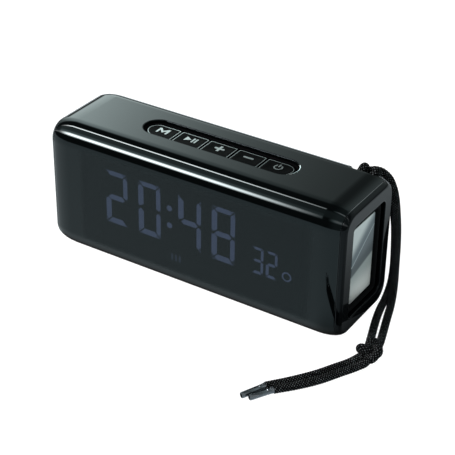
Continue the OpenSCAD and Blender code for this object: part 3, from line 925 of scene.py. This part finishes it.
@dataclass
class BraidedTube:
    """A length of braided cord as a mesh, with its strands standing proud."""

    radius: float = 0.002
    diamonds: int = 8
    pitch: float = 0.00125
    proud: float = 0.00016
    sides: int = 32
    gap: float = 0.00036

    def add(self, solid: Solid, line: Sequence[Vector], closed: bool = False) -> None:
        """Adds the cord along a line to a solid.

        Args:
            solid: Where the mesh goes.
            line: Even steps along the middle of the cord.
            closed: Whether the line is a loop.
        """
        n = len(line)
        tangents, sides, twist = self._frames(line, closed)
        travel = 0.0
        rings, alongs = [], []
        for i, (spot, t, s) in enumerate(zip(line, tangents, sides)):
            if i:
                travel += (spot - line[i - 1]).length
            up = t.cross(s)
            ring = []
            for k in range(self.sides):
                u = k / self.sides
                a = 2 * math.pi * u - twist * i / n
                right = math.sin(math.pi * (self.diamonds * u + travel / self.pitch))
                left = math.sin(math.pi * (self.diamonds * u - travel / self.pitch))
                r = self.radius - self.proud * (1 - abs(right * left))
                ring.append(spot + (s * math.cos(a) + up * math.sin(a)) * r)
            rings.append(ring)
            alongs.append(travel / MM)
        first = len(solid.faces)
        solid.rings(rings, start=not closed, end=not closed, closed=closed)
        self._lay(solid, first, alongs, closed)

    @staticmethod
    def _frames(
        line: Sequence[Vector], closed: bool
    ) -> tuple[list[Vector], list[Vector], float]:
        """Carries a side direction along a line without twisting it.

        Args:
            line: Even steps along the middle of the cord.
            closed: Whether the line is a loop.

        Returns:
            The direction and the side at each step, and the turn that a loop
            has to lose by its end, in radians.
        """
        n = len(line)
        tangents = []
        for i in range(n):
            a = line[i - 1] if (i or closed) else line[i]
            b = line[(i + 1) % n] if (i < n - 1 or closed) else line[i]
            tangents.append((b - a).normalized())
        across = tangents[0].orthogonal().normalized()
        sides = [across]
        for i in range(1, n):
            turn = tangents[i - 1].rotation_difference(tangents[i])
            across = turn @ across
            across = (across - across.dot(tangents[i]) * tangents[i]).normalized()
            sides.append(across)
        twist = 0.0
        if closed:
            back = tangents[-1].rotation_difference(tangents[0]) @ sides[-1]
            up = tangents[0].cross(sides[0])
            twist = math.atan2(back.dot(up), back.dot(sides[0]))
        return tangents, sides, twist

    def _lay(self, solid: Solid, first: int, alongs: list[float], closed: bool) -> None:
        """Gives each new face its turns round and millimetres along."""
        spans = len(alongs) - (0 if closed else 1)
        made = solid.faces[first:]
        step = alongs[1] - alongs[0]
        for j in range(spans):
            low = alongs[j]
            high = alongs[j + 1] if j + 1 < len(alongs) else low + step
            for i in range(self.sides):
                u0, u1 = i / self.sides, (i + 1) / self.sides
                solid.uvs.extend(((u0, low), (u1, low), (u1, high), (u0, high)))
        for cap in made[spans * self.sides :]:
            solid.uvs.extend((0.0, 0.0) for _ in cap)


# ---------------------------------------------------------------- the studio


@dataclass
class Viewpoint:
    """The camera, above and in front of the display's left."""

    place: Point = (0.31037, -0.48440, 0.37743)
    right: Point = (0.8426, 0.5383, 0.0134)
    up: Point = (-0.2911, 0.4345, 0.8524)
    back: Point = (0.4530, -0.7222, 0.5228)
    lens: float = 109.4

    def build(self) -> None:
        """Makes the camera and gives it to the scene."""
        lens = bpy.data.cameras.new("viewpoint")
        lens.lens, lens.sensor_width = self.lens, 36
        lens.clip_start, lens.clip_end = 0.01, 50
        camera = bpy.data.objects.new("viewpoint", lens)
        turn = Matrix((self.right, self.up, self.back)).transposed().to_4x4()
        camera.matrix_world = Matrix.Translation(self.place) @ turn
        bpy.context.scene.collection.objects.link(camera)
        bpy.context.scene.camera = camera


@dataclass
class Studio:
    """The pale table and the long soft boxes round it.

    A soft box is a band of the sky along the object's length, told by the angle
    in degrees from the front, over the top, to its middle, half its width and
    how softly it ends. Where it lies along the length is told from x, which is
    -1 at the far left and 1 at the far right.
    """

    table_half: float = 4.0
    key: float = 62.0
    key_box: Box = (39.0, 0.6, 9.5)
    hair: float = 42.0
    hair_box: Box = (83.5, 0.8, 2.8)
    dim_box: Box = (62.0, 12.0, 8.0)
    low_box: Box = (50.0, 3.0, 8.0)
    back_box: Box = (143.0, 20.0, 10.0)
    fill: float = 0.05
    cool: Colour = (0.86, 1.0, 0.99)
    warm: Colour = (1.07, 1.0, 0.98)

    def build(self) -> None:
        """Makes the table and the light."""
        table, bounce = self._board("table_top", 0.0), self._board("bounce_board", -0.0002)
        TABLE.on(table)
        BOUNCE.on(bounce)
        bounce.visible_camera = False
        table.visible_glossy = table.visible_diffuse = table.visible_transmission = False
        bpy.context.scene.view_settings.view_transform = "Standard"
        self._soft_boxes()

    def _board(self, name: str, z: float) -> Piece:
        """Makes one large level board at height z."""
        h = self.table_half
        corners = [(-h, -h, z), (h, -h, z), (h, h, z), (-h, h, z)]
        board = piece(name, corners, [(0, 1, 2, 3)], False)
        return board

    def _soft_boxes(self) -> None:
        """Lights the room: a key box, a hair box, dim ones between and a back one."""
        world = bpy.data.worlds.new("studio")
        bpy.context.scene.world = world
        world.use_nodes = True
        r = Recipe(world.node_tree)
        x, y, z = r.place("Generated")
        tilt = r.maths("ARCTAN2", z, 0 - y) * (180 / math.pi)
        left = (1 - x.rise(-0.50, -0.36)) * x.rise(-0.9, -0.8)
        right = x.rise(-0.24, 0.12)
        fade = (1 - x.rise(-0.49, -0.39)) * (x.rise(-0.85, -0.53) * 0.95 + 0.05)
        key = tilt.band(*self.key_box) * (fade * self.key + left * 4 + right * 3)
        first = x.rise(-0.85, -0.55) * 0.9 + 0.1
        hair = tilt.band(*self.hair_box) * (left * first * self.hair + right * 4)
        between = tilt.band(*self.dim_box) * (0.25 + left * 0.5)
        between = between + tilt.band(*self.low_box) * left * 1.6
        sky = (-6.2 - x * 13.4).exponent().most(0.12).least(3.6)
        sky = sky * (x.rise(-0.92, -0.545) * 0.78 + 0.22)
        back = tilt.band(*self.back_box) * (sky + right * 0.5)
        level = key + hair + between + back + self.fill + right * 0.2
        hue = r.blend((key + hair).rise(0.5, 3.0), self.cool, self.warm)
        light = r.node("ShaderNodeBackground", {}, {"Color": hue, "Strength": level})
        r.node("ShaderNodeOutputWorld", {}, {"Surface": light.outputs[0]})


# --------------------------------------------------------------- the lanyard


def metres(*points: Point) -> Route:
    """Turns points in millimetres into metres."""
    return tuple(tuple(c * MM for c in p) for p in points)


@dataclass
class Lanyard:
    """A doubled braided cord: hitched to the bar, knotted, with two aglets.

    bar is the depth and height of the bar's middle. wraps and lifts are where
    each wrap goes round it and how much higher than a circle it stands. join is
    how far behind the top, in degrees, the strand between the wraps lies, and
    how far outside them.
    """

    diameter: float = 0.004
    bar: Pair = (0.0215, 0.0645)
    wraps: Pair = (0.0660, 0.0724)
    wrap_radius: float = 0.00355
    wrap_lean: float = 0.0006
    lifts: Pair = (0.0010, 0.0002)
    join: Pair = (25.0, 0.0002)
    knot: Point = (0.0982, -0.0228, 0.0046)
    knot_turn: float = -72.0
    knot_size: float = 0.00166
    knot_height: float = 1.35
    knot_cord: float = 0.00195
    outer: Route = metres(
        (66.6, 25.4, 64.6), (69.8, 26.7, 66), (73.4, 27.8, 65.4), (76.8, 28.5, 62.7),
        (79.1, 28.7, 58.4), (80.8, 28.5, 53.2), (82.2, 27.8, 47), (83.6, 27, 39),
        (84.5, 26.3, 29.6), (85, 25.7, 20), (85.4, 25.2, 12.4), (85.9, 24, 7.4),
        (87, 20.8, 3.6), (88.7, 15.7, 2.1), (90.7, 9.4, 2.1), (92.9, 2.6, 2.1),
        (95.4, -5, 2.1), (97.6, -12, 2.3), (98.8, -16.6, 3),
    )
    inner: Route = metres(
        (71.4, 25.4, 60.8), (72.8, 28.6, 58.7), (74.4, 31, 55.6), (76, 32.2, 51.6),
        (77.8, 32.3, 47), (79.4, 31.9, 41.4), (80.6, 31.5, 34), (81.4, 31, 25.6),
        (81.9, 30.6, 18), (82.1, 30, 12.4), (82.3, 28.6, 7.6), (82.7, 25.2, 3.8),
        (83.6, 20, 2.1), (84.9, 13.4, 2.1), (86.8, 6, 2.1), (89.3, -2, 2.1),
        (92, -9.8, 2.3), (93.8, -15, 3),
    )
    tail_left: Route = metres(
        (95.4, -28.2, 3), (93.1, -33.3, 2.3), (89.5, -39.8, 2.1), (84.5, -49.2, 2.1),
        (77.8, -59, 2.1), (70.3, -68.5, 2.1),
    )
    tail_right: Route = metres(
        (99.6, -30.4, 3), (96.9, -35.3, 2.3), (93.3, -41.6, 2.1), (88, -51.6, 2.1),
        (81.8, -60.3, 2.1), (74.6, -68.6, 2.1),
    )
    tips: Route = ((0.0648, -0.0795, 0.0017), (0.0685, -0.0788, 0.0017))

    def _strand(self, name: str, points: Route) -> tuple[Piece, list[Vector]]:
        """Makes one braided length and gives it with its middle line."""
        tube = BraidedTube(self.diameter / 2)
        line = spline(points, tube.gap)
        solid = Solid()
        tube.add(solid, line)
        made = solid.build(name)
        settle(made, BRAID, "case", "lanyard_" + name)
        return made, line[::6] + ([line[-1]] if (len(line) - 1) % 6 else [])

    def _knot(self) -> Piece:
        """Makes the overhand knot that gathers both legs, as one three-lobed loop."""
        c, turn = Vector(self.knot), Matrix.Rotation(math.radians(self.knot_turn), 3, "Z")
        loop = []
        for t in turns(160):
            x = math.sin(t) + 2 * math.sin(2 * t)
            y = math.cos(t) - 2 * math.cos(2 * t)
            p = Vector((x, y, -self.knot_height * math.sin(3 * t)))
            loop.append(c + turn @ (p * self.knot_size))
        solid = Solid()
        tube = BraidedTube(self.knot_cord)
        tube.add(solid, loop, closed=True)
        for leg, tail in ((self.outer, self.tail_right), (self.inner, self.tail_left)):
            middle = c.lerp((Vector(leg[-1]) + Vector(tail[0])) / 2, 0.7)
            tube.add(solid, spline([*leg[-2:], tuple(middle), *tail[:2]], tube.gap))
        made = solid.build("overhand_knot")
        return settle(made, BRAID, "case", "lanyard_knot")

    def _hitch(self) -> Piece:
        """Makes the two wraps round the bar and the strand that joins them."""
        solid = Solid()
        tube = BraidedTube(self.diameter / 2)
        y, z = self.bar
        for x, lift in zip(self.wraps, self.lifts):
            loop = []
            for a in turns(72):
                up = (self.wrap_radius + lift * max(math.sin(a), 0)) * math.sin(a)
                out = self.wrap_radius * math.cos(a)
                loop.append(Vector((x + self.wrap_lean * math.sin(a), y + out, z + up)))
            tube.add(solid, loop, closed=True)
        a, reach = math.radians(self.join[0]), self.wrap_radius + self.join[1]
        first, last = self.wraps
        ends = [
            (x, y + reach * math.cos(a), z + reach * math.sin(a))
            for x in (first, (first + last) / 2, last)
        ]
        tube.add(solid, spline(ends, tube.gap))
        made = solid.build("bar_hitch")
        return settle(made, BRAID, "case", "lanyard_hitch")

    def _aglet(self, name: str, start: Point, end: Point) -> Piece:
        """Makes one crimped tube, open at its tip.

        Args:
            name: The frame node that it replaces.
            start: Where the cord goes into it.
            end: Its tip.

        Returns:
            The aglet.
        """
        a, b = Vector(start), Vector(end)
        way = (b - a).normalized()
        side = way.cross(Vector((0, 0, 1))).normalized()
        up = side.cross(way)
        long = (b - a).length / MM
        shape = [
            (-0.9, 1.45), (-0.9, 1.66), (0.2, 1.68), (0.9, 1.58), (1.5, 1.52), (1.7, 1.38),
            (1.95, 1.52), (3.2, 1.5), (3.4, 1.34), (3.65, 1.48), (long - 1.6, 1.44),
            (long - 0.4, 1.42), (long, 1.32), (long, 1.0), (long - 1.8, 0.9),
        ]
        rings = []
        for along, r in shape:
            pinch = 0.05 if along > 1 else 0
            middle, ring = a + way * along * MM, []
            for t in turns(28):
                flat = 1 - pinch * math.cos(2 * t)
                ring.append(middle + (side * math.cos(t) + up * math.sin(t) * flat) * r * MM)
            rings.append(ring)
        made = Solid().rings(rings, turned=True).build(name + "_crimp")
        return settle(made, CRIMP, "case", name)

    def build(self) -> list[Piece]:
        """Makes the whole lanyard."""
        knot, hitch = self._knot(), self._hitch()
        tips = [
            self._aglet("aglet_left", self.tail_left[-1], self.tips[0]),
            self._aglet("aglet_right", self.tail_right[-1], self.tips[1]),
        ]
        plan = [
            ("leg_outer", self.outer, 0.1135, "knot", [knot]),
            ("leg_inner", self.inner, 0.105, "knot", []),
            ("tail_left", self.tail_left, 0.048, "fitting", [tips[0]]),
            ("tail_right", self.tail_right, 0.046, "fitting", [tips[1]]),
        ]
        made = [knot, hitch, *tips]
        for name, points, length, far, ends in plan:
            strand, line = self._strand(name, points)
            made.append(strand)
        return made


# ------------------------------------------------------------------ the keys


class Sign(Enum):
    """What is printed on a key."""

    MODE = "mode"
    PLAY_PAUSE = "play_pause"
    PLUS = "plus"
    MINUS = "minus"
    POWER = "power"


def block(x0: float, y0: float, x1: float, y1: float) -> Outline:
    """The outline of a rectangle between two corners, anticlockwise."""
    return [(x0, y0), (x1, y0), (x1, y1), (x0, y1)]


@dataclass
class Key:
    """One top key: a crowned gloss cap, a bright edge line and a printed sign.

    end is -1 or 1 on the first and last key, whose outer side is a half circle.
    The bright line starts edge in from the outline and is line wide. slack is
    what the cap draws in at an end key's outer end and at every key's rear, and
    shift is how far an end key's sign moves towards the row's middle.
    """

    body: str
    node: str
    sign: Sign
    end: int = 0
    top: float = 0.0685
    under: float = 0.0644
    corner: float = 0.0007
    edge: float = 0.0003
    line: float = 0.0003
    slack: Pair = (0.0009, 0.0014)
    post: float = 0.002
    shift: float = 0.0006

    def _middle(self) -> tuple[float, float, float, float]:
        """The middle of the key's node and half its size, along and across."""
        lo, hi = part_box(self.node)
        return (lo.x + hi.x) / 2, (lo.y + hi.y) / 2, (hi.x - lo.x) / 2, (hi.y - lo.y) / 2

    def _ring(self, inset: float, z: float) -> list[Point]:
        """The key's outline at one height, drawn in by inset."""
        cx, cy, half_x, half_y = self._middle()
        hw, hh = half_x - inset, half_y - inset
        points = rounded(hw, hh, self.corner, 4)
        if self.end:
            big = hh - 1e-6
            arc = []
            for i in range(25):
                a = -math.pi / 2 + math.pi * i / 24
                arc.append((hw - big + big * math.cos(a), big * math.sin(a)))
            points = arc + [p for p in points if p[0] < 0]
            if self.end < 0:
                points = [(-x, y) for x, y in reversed(points)]
        share = min(inset / self.edge, 1)
        close = 1 - self.slack[0] / half_x * share
        draw = 1 - self.slack[1] / (cy + half_y) * share
        return [
            (cx + (x * close if x * self.end > 0 else x), cy + (y * draw if y > 0 else y), z)
            for x, y in points
        ]

    def _cap(self) -> Piece:
        """Makes the cap, with rolled edges and a shallow crown, and its post."""
        profile = [
            (0, self.under), (0, self.top - 0.00055), (0.00008, self.top - 0.00028),
            (0.00026, self.top - 0.0001), (0.0005, self.top - 0.00003), (0.0009, self.top),
            (0.0024, self.top - 0.00006), (0.0045, self.top - 0.0001),
        ]
        solid = Solid().rings([self._ring(inset, z) for inset, z in profile])
        cx, r = self._middle()[0], self.post
        post = [(cx + r * math.cos(a), r * math.sin(a)) for a in turns(24)]
        solid.prism(post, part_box(self.node)[0].z, self.under + 0.0001)
        return solid.build(self.body + "_cap")

    def _edge(self) -> Piece:
        """Makes the bright line let into the edge of the cap."""
        low, high = self.top - 0.0002, self.top + 0.00004
        outer, inner = self.edge, self.edge + self.line
        rows = [(outer, low), (outer, high), (inner, high), (inner, low)]
        solid = Solid().rings([self._ring(inset, z) for inset, z in rows], closed=True)
        return solid.build(self.body + "_edge_line")

    def _strokes(self) -> list[Outline]:
        """The flat shapes of the printed sign, about its middle, in millimetres."""
        if self.sign is Sign.PLUS:
            a, b = 2.6, 0.62
            return [
                [
                    (-a, -b), (-b, -b), (-b, -a), (b, -a), (b, -b), (a, -b),
                    (a, b), (b, b), (b, a), (-b, a), (-b, b), (-a, b),
                ]
            ]
        if self.sign is Sign.MINUS:
            return [rounded(2.7, 0.6, 0.2, 3)]
        if self.sign is Sign.PLAY_PAUSE:
            arrow = [(-3.2, -2.0), (0.1, 0), (-3.2, 2.0)]
            return [arrow, block(0.7, -2.0, 1.6, 2.0), block(2.3, -2.0, 3.2, 2.0)]
        if self.sign is Sign.MODE:
            return [
                block(-3.0, -2.3, -2.0, 2.3),
                block(2.0, -2.3, 3.0, 2.3),
                [(-2.0, 2.3), (-2.0, 0.7), (0, -1.6), (0, 0.1)],
                [(2.0, 2.3), (0, 0.1), (0, -1.6), (2.0, 0.7)],
            ]
        sweep = [math.radians(125 + 290 * i / 28) for i in range(29)]
        outer, inner = ([(r * math.cos(a), r * math.sin(a)) for a in sweep] for r in (2.3, 1.6))
        return [outer + inner[::-1], block(-0.38, 0.2, 0.38, 2.9)]

    def _print(self) -> Piece:
        """Makes the printed sign, a film of ink on the cap."""
        cx = self._middle()[0] - self.end * self.shift
        solid = Solid()
        for shape in self._strokes():
            outline = [(cx + x * MM, y * MM) for x, y in shape]
            solid.prism(outline, self.top - 0.00015, self.top + 0.00006)
        return solid.build(self.body + "_sign", smooth=False)

    def build(self) -> list[Piece]:
        """Makes the key's three pieces on its own body."""
        return [
            settle(self._cap(), GLOSS_KEY, self.body, self.node),
            settle(self._edge(), FOIL, self.body),
            settle(self._print(), SIGN_FOIL, self.body),
        ]


@dataclass
class KeyRow:
    """The recess in the top with its tray and five keys."""

    keys: tuple[Key, ...] = (
        Key("mode_key", "button_mode", Sign.MODE, end=-1),
        Key("play_pause_key", "button_play_pause", Sign.PLAY_PAUSE),
        Key("volume_up_key", "button_volume_up", Sign.PLUS),
        Key("volume_down_key", "button_volume_down", Sign.MINUS),
        Key("power_key", "button_power", Sign.POWER, end=1),
    )
    middle: float = 0.0014
    size: Pair = (0.0846, 0.0146)
    top: float = 0.07

    def _bead(self) -> Piece:
        """Makes the rolled gloss bead that lines the rim of the recess."""
        rows = [
            (0.00064, -0.00048), (0.00066, -0.00003), (0.0005, 0.00001), (0.00034, -0.00003),
            (0.0002, -0.00012), (0.0001, -0.00024), (0.00004, -0.0004), (0.00004, -0.00048),
        ]
        rings = []
        for out, drop in rows:
            hw, hh = self.size[0] / 2 + out, self.size[1] / 2 + out
            ring = rounded(hw, hh, hh, 14)
            rings.append([(self.middle + x, y, self.top + drop) for x, y in ring])
        made = Solid().rings(rings, closed=True, turned=True).build("recess_bead")
        return settle(made, GLOSS_RIM, "case")

    def build(self, nodes: Nodes) -> list[Piece]:
        """Dresses the tray, board and switches and makes the bead and keys."""
        # The tray takes the darker mask black as painted shade in the key recess.
        MASK_BLACK.on(nodes["button_tray"])
        BOARD.on(nodes["button_board"])
        STEEL.on(nodes["tact_switches"])
        return [self._bead()] + [made for key in self.keys for made in key.build()]


# ------------------------------------------------------------- the end plates


@dataclass
class Radiator:
    """One end: a rolled rubber surround, the plate inside it and the opening's bead."""

    side: str
    sign: int
    rim: Pair = (0.0424, 0.061)
    opening: Pair = (0.0314, 0.0494)
    plate: Pair = (0.0204, 0.0402)
    middle: float = 0.0352
    face: float = 0.0796
    base: float = 0.07945
    end: float = 0.082
    crest: float = 0.0012

    def _ring(self, size: Pair, grow: float, radius: float, x: float) -> list[Point]:
        """One rounded rectangle standing across the end, this much larger than size."""
        return [
            (self.sign * x, y, self.middle + z)
            for y, z in rounded((size[0] + grow) / 2, (size[1] + grow) / 2, radius, 8)
        ]

    def _surround(self) -> Piece:
        """Makes the rubber: clamped lip, half roll and the lip under the plate."""
        lip, inner = 0.0021, 0.0007
        rings = [
            self._ring(self.rim, 0, 0.0085, self.base - 0.0008),
            self._ring(self.rim, 0, 0.0085, self.base),
            self._ring(self.opening, -0.0006, 0.0034, self.base),
        ]
        for i in range(1, 14):
            t = i / 14
            size = tuple(
                (o - 0.0012) * (1 - t) + (p + lip) * t for o, p in zip(self.opening, self.plate)
            )
            up = self.crest * math.sin(math.pi * t) ** 0.8
            rings.append(self._ring(size, 0, 0.0034 * (1 - t) + 0.0012 * t, self.base + up))
        rings += [
            self._ring(self.plate, lip, 0.0012, self.base),
            self._ring(self.plate, inner, 0.0006, self.base - 0.0001),
            self._ring(self.plate, inner, 0.0006, self.base - 0.0008),
        ]
        made = Solid().rings(rings, start=False, end=False, turned=self.sign < 0)
        return made.build(f"{self.side}_surround_roll")

    def _plate(self) -> Piece:
        """Makes the plate, with small round corners and an eased edge."""
        rows = [
            (0.0, -0.0014), (0.0, -0.00022), (0.00006, -0.00008), (0.00016, 0.0),
            (0.0002, 0.0), (0.0012, 0.0), (0.004, -0.00001),
        ]
        rings = [self._ring(self.plate, -2 * i, 0.0009 - i / 3, self.face + x) for i, x in rows]
        return Solid().rings(rings, turned=self.sign < 0).build(f"{self.side}_bright_plate")

    def _bead(self) -> Piece:
        """Makes the rolled bead that lines the opening in the end cap."""
        rows = [
            (0.00045, -0.0001), (0.00045, 0.00001), (0.00024, 0.00003), (0.0001, -0.00001),
            (0.00001, -0.0001), (-0.00004, -0.00022), (-0.00004, -0.0005),
        ]
        rings = [self._ring(self.opening, 2 * o, 0.0036 + o, self.end + x) for o, x in rows]
        made = Solid().rings(rings, closed=True, turned=self.sign > 0)
        return made.build(f"{self.side}_opening_bead")

    def build(self) -> list[Piece]:
        """Makes the three pieces and gives each its body."""
        side, roll, plate = self.side, self._surround(), self._plate()
        return [
            settle(roll, RUBBER, "case", f"radiator_surround_{side}"),
            settle(plate, PLATE, f"{side}_radiator", f"radiator_plate_{side}"),
            settle(self._bead(), GLOSS_BEAD, "case"),
        ]


# -------------------------------------------------------- the case and the works


@dataclass
class Housing:
    """The shell, its caps, the rear panel and what shows from outside."""

    steel: tuple[str, ...] = ("rear_screws", "charge_socket", "card_slot", "lanyard_bar")
    satin: tuple[str, ...] = ("rear_panel", "aux_jack")

    def build(self, nodes: Nodes) -> None:
        """Dresses each node."""
        GLOSS_SHELL.on(nodes["front_shell"])
        GLOSS_CAP.on(nodes["end_cap_left"], nodes["end_cap_right"])
        STEEL.on(*(nodes[name] for name in self.steel))
        SATIN.on(*(nodes[name] for name in self.satin))
        RUBBER.on(nodes["base_pad"])


@dataclass(frozen=True)
class Figures:
    """A row of seven-bar figures, each bar a light guide with mitred ends.

    Everything but the names is in millimetres. low is the height of the foot,
    and gap is what each end of a bar is drawn in by.
    """

    node: str
    name: str
    numbers: tuple[int, ...]
    middles: tuple[float, ...]
    width: float
    height: float
    bar: float
    low: float
    gap: float

    def _bars(self, number: int, middle: float) -> list[Outline]:
        """The outlines of one figure's lit bars, seen from the front."""
        lit = {0: "abcdef", 2: "abged", 3: "abgcd", 4: "fgbc", 8: "abcdefg"}[number]
        w, h, t, g = self.width / 2, self.height / 2, self.bar, self.gap
        half = t / 2
        top = [(g - w, h), (t + g - w, h - t), (w - t - g, h - t), (w - g, h)]
        post = [(-w, g), (t - w, half + g), (t - w, h - t - g), (-w, h - g)]
        core = [
            (half + g - w, 0), (t + g - w, -half), (w - t - g, -half),
            (w - half - g, 0), (w - t - g, half), (t + g - w, half),
        ]
        shapes = {
            "a": (top, 1, 1), "b": (post, -1, 1), "c": (post, -1, -1), "d": (top, 1, -1),
            "e": (post, 1, -1), "f": (post, 1, 1), "g": (core, 1, 1),
        }
        outlines = []
        for shape, sx, sz in (shapes[bar] for bar in lit):
            points = [(middle + sx * x, self.low + h + sz * z) for x, z in shape]
            outlines.append(points[:: sx * sz])
        return outlines

    def build(self) -> list[Piece]:
        """Makes the row in place of its node."""
        lo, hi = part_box(self.node)
        solid = Solid()
        for number, middle in zip(self.numbers, self.middles):
            for shape in self._bars(number, middle):
                solid.rings([[(x * MM, y, z * MM) for x, z in shape] for y in (hi.y, lo.y)])
        made = solid.build(self.name, smooth=False)
        return [settle(made, GLOW, "case", self.node)]


@dataclass
class Works:
    """The display, speakers, boards and cell behind the smoked front."""

    clock: Figures = Figures(
        "time_digits", "clock_bars", (2, 0, 4, 8), (-42.5, -23.2, -0.1, 18.7),
        width=12.8, height=29, bar=2.4, low=23.8, gap=0.42,
    )
    warmth: Figures = Figures(
        "temperature_digits", "warmth_bars", (3, 2), (37.7, 45.2),
        width=6, height=14.4, bar=1.3, low=24, gap=0.24,
    )

    def build(self, nodes: Nodes) -> list[Piece]:
        """Dresses each node and makes the lit figures."""
        GLOW.on(nodes["colon_dots"], nodes["degree_mark"])
        FAINT_GLOW.on(nodes["indicator_marks"])
        MASK_BLACK.on(nodes["light_mask"])
        BOARD.on(nodes["display_board"], nodes["main_board"])
        SATIN.on(nodes["battery_cradle"])
        CELL.on(nodes["battery_cell"])
        for side in ("left", "right"):
            STEEL.on(nodes[f"speaker_frame_{side}"])
            FERRITE.on(nodes[f"speaker_magnet_{side}"])
            PAPER.on(nodes[f"speaker_cone_{side}"])
        return self.clock.build() + self.warmth.build()


def report(made: Sequence[Piece]) -> None:
    """Logs each new piece with its number of faces."""
    for item in made:
        LOG.info("%s: %d faces", item.name, len(item.data.polygons))


def main() -> None:
    """Loads the frame and builds the pieces in order."""
    logging.basicConfig(level=logging.INFO, format="%(message)s")
    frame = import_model()
    nodes = frame["nodes"]
    Viewpoint().build()
    report(Lanyard().build())
    Studio().build()
    Housing().build(nodes)
    report(Works().build(nodes))
    report(KeyRow().build(nodes))
    for side, sign in (("left", -1), ("right", 1)):
        report(Radiator(side, sign).build())


if __name__ == "__main__":
    main()
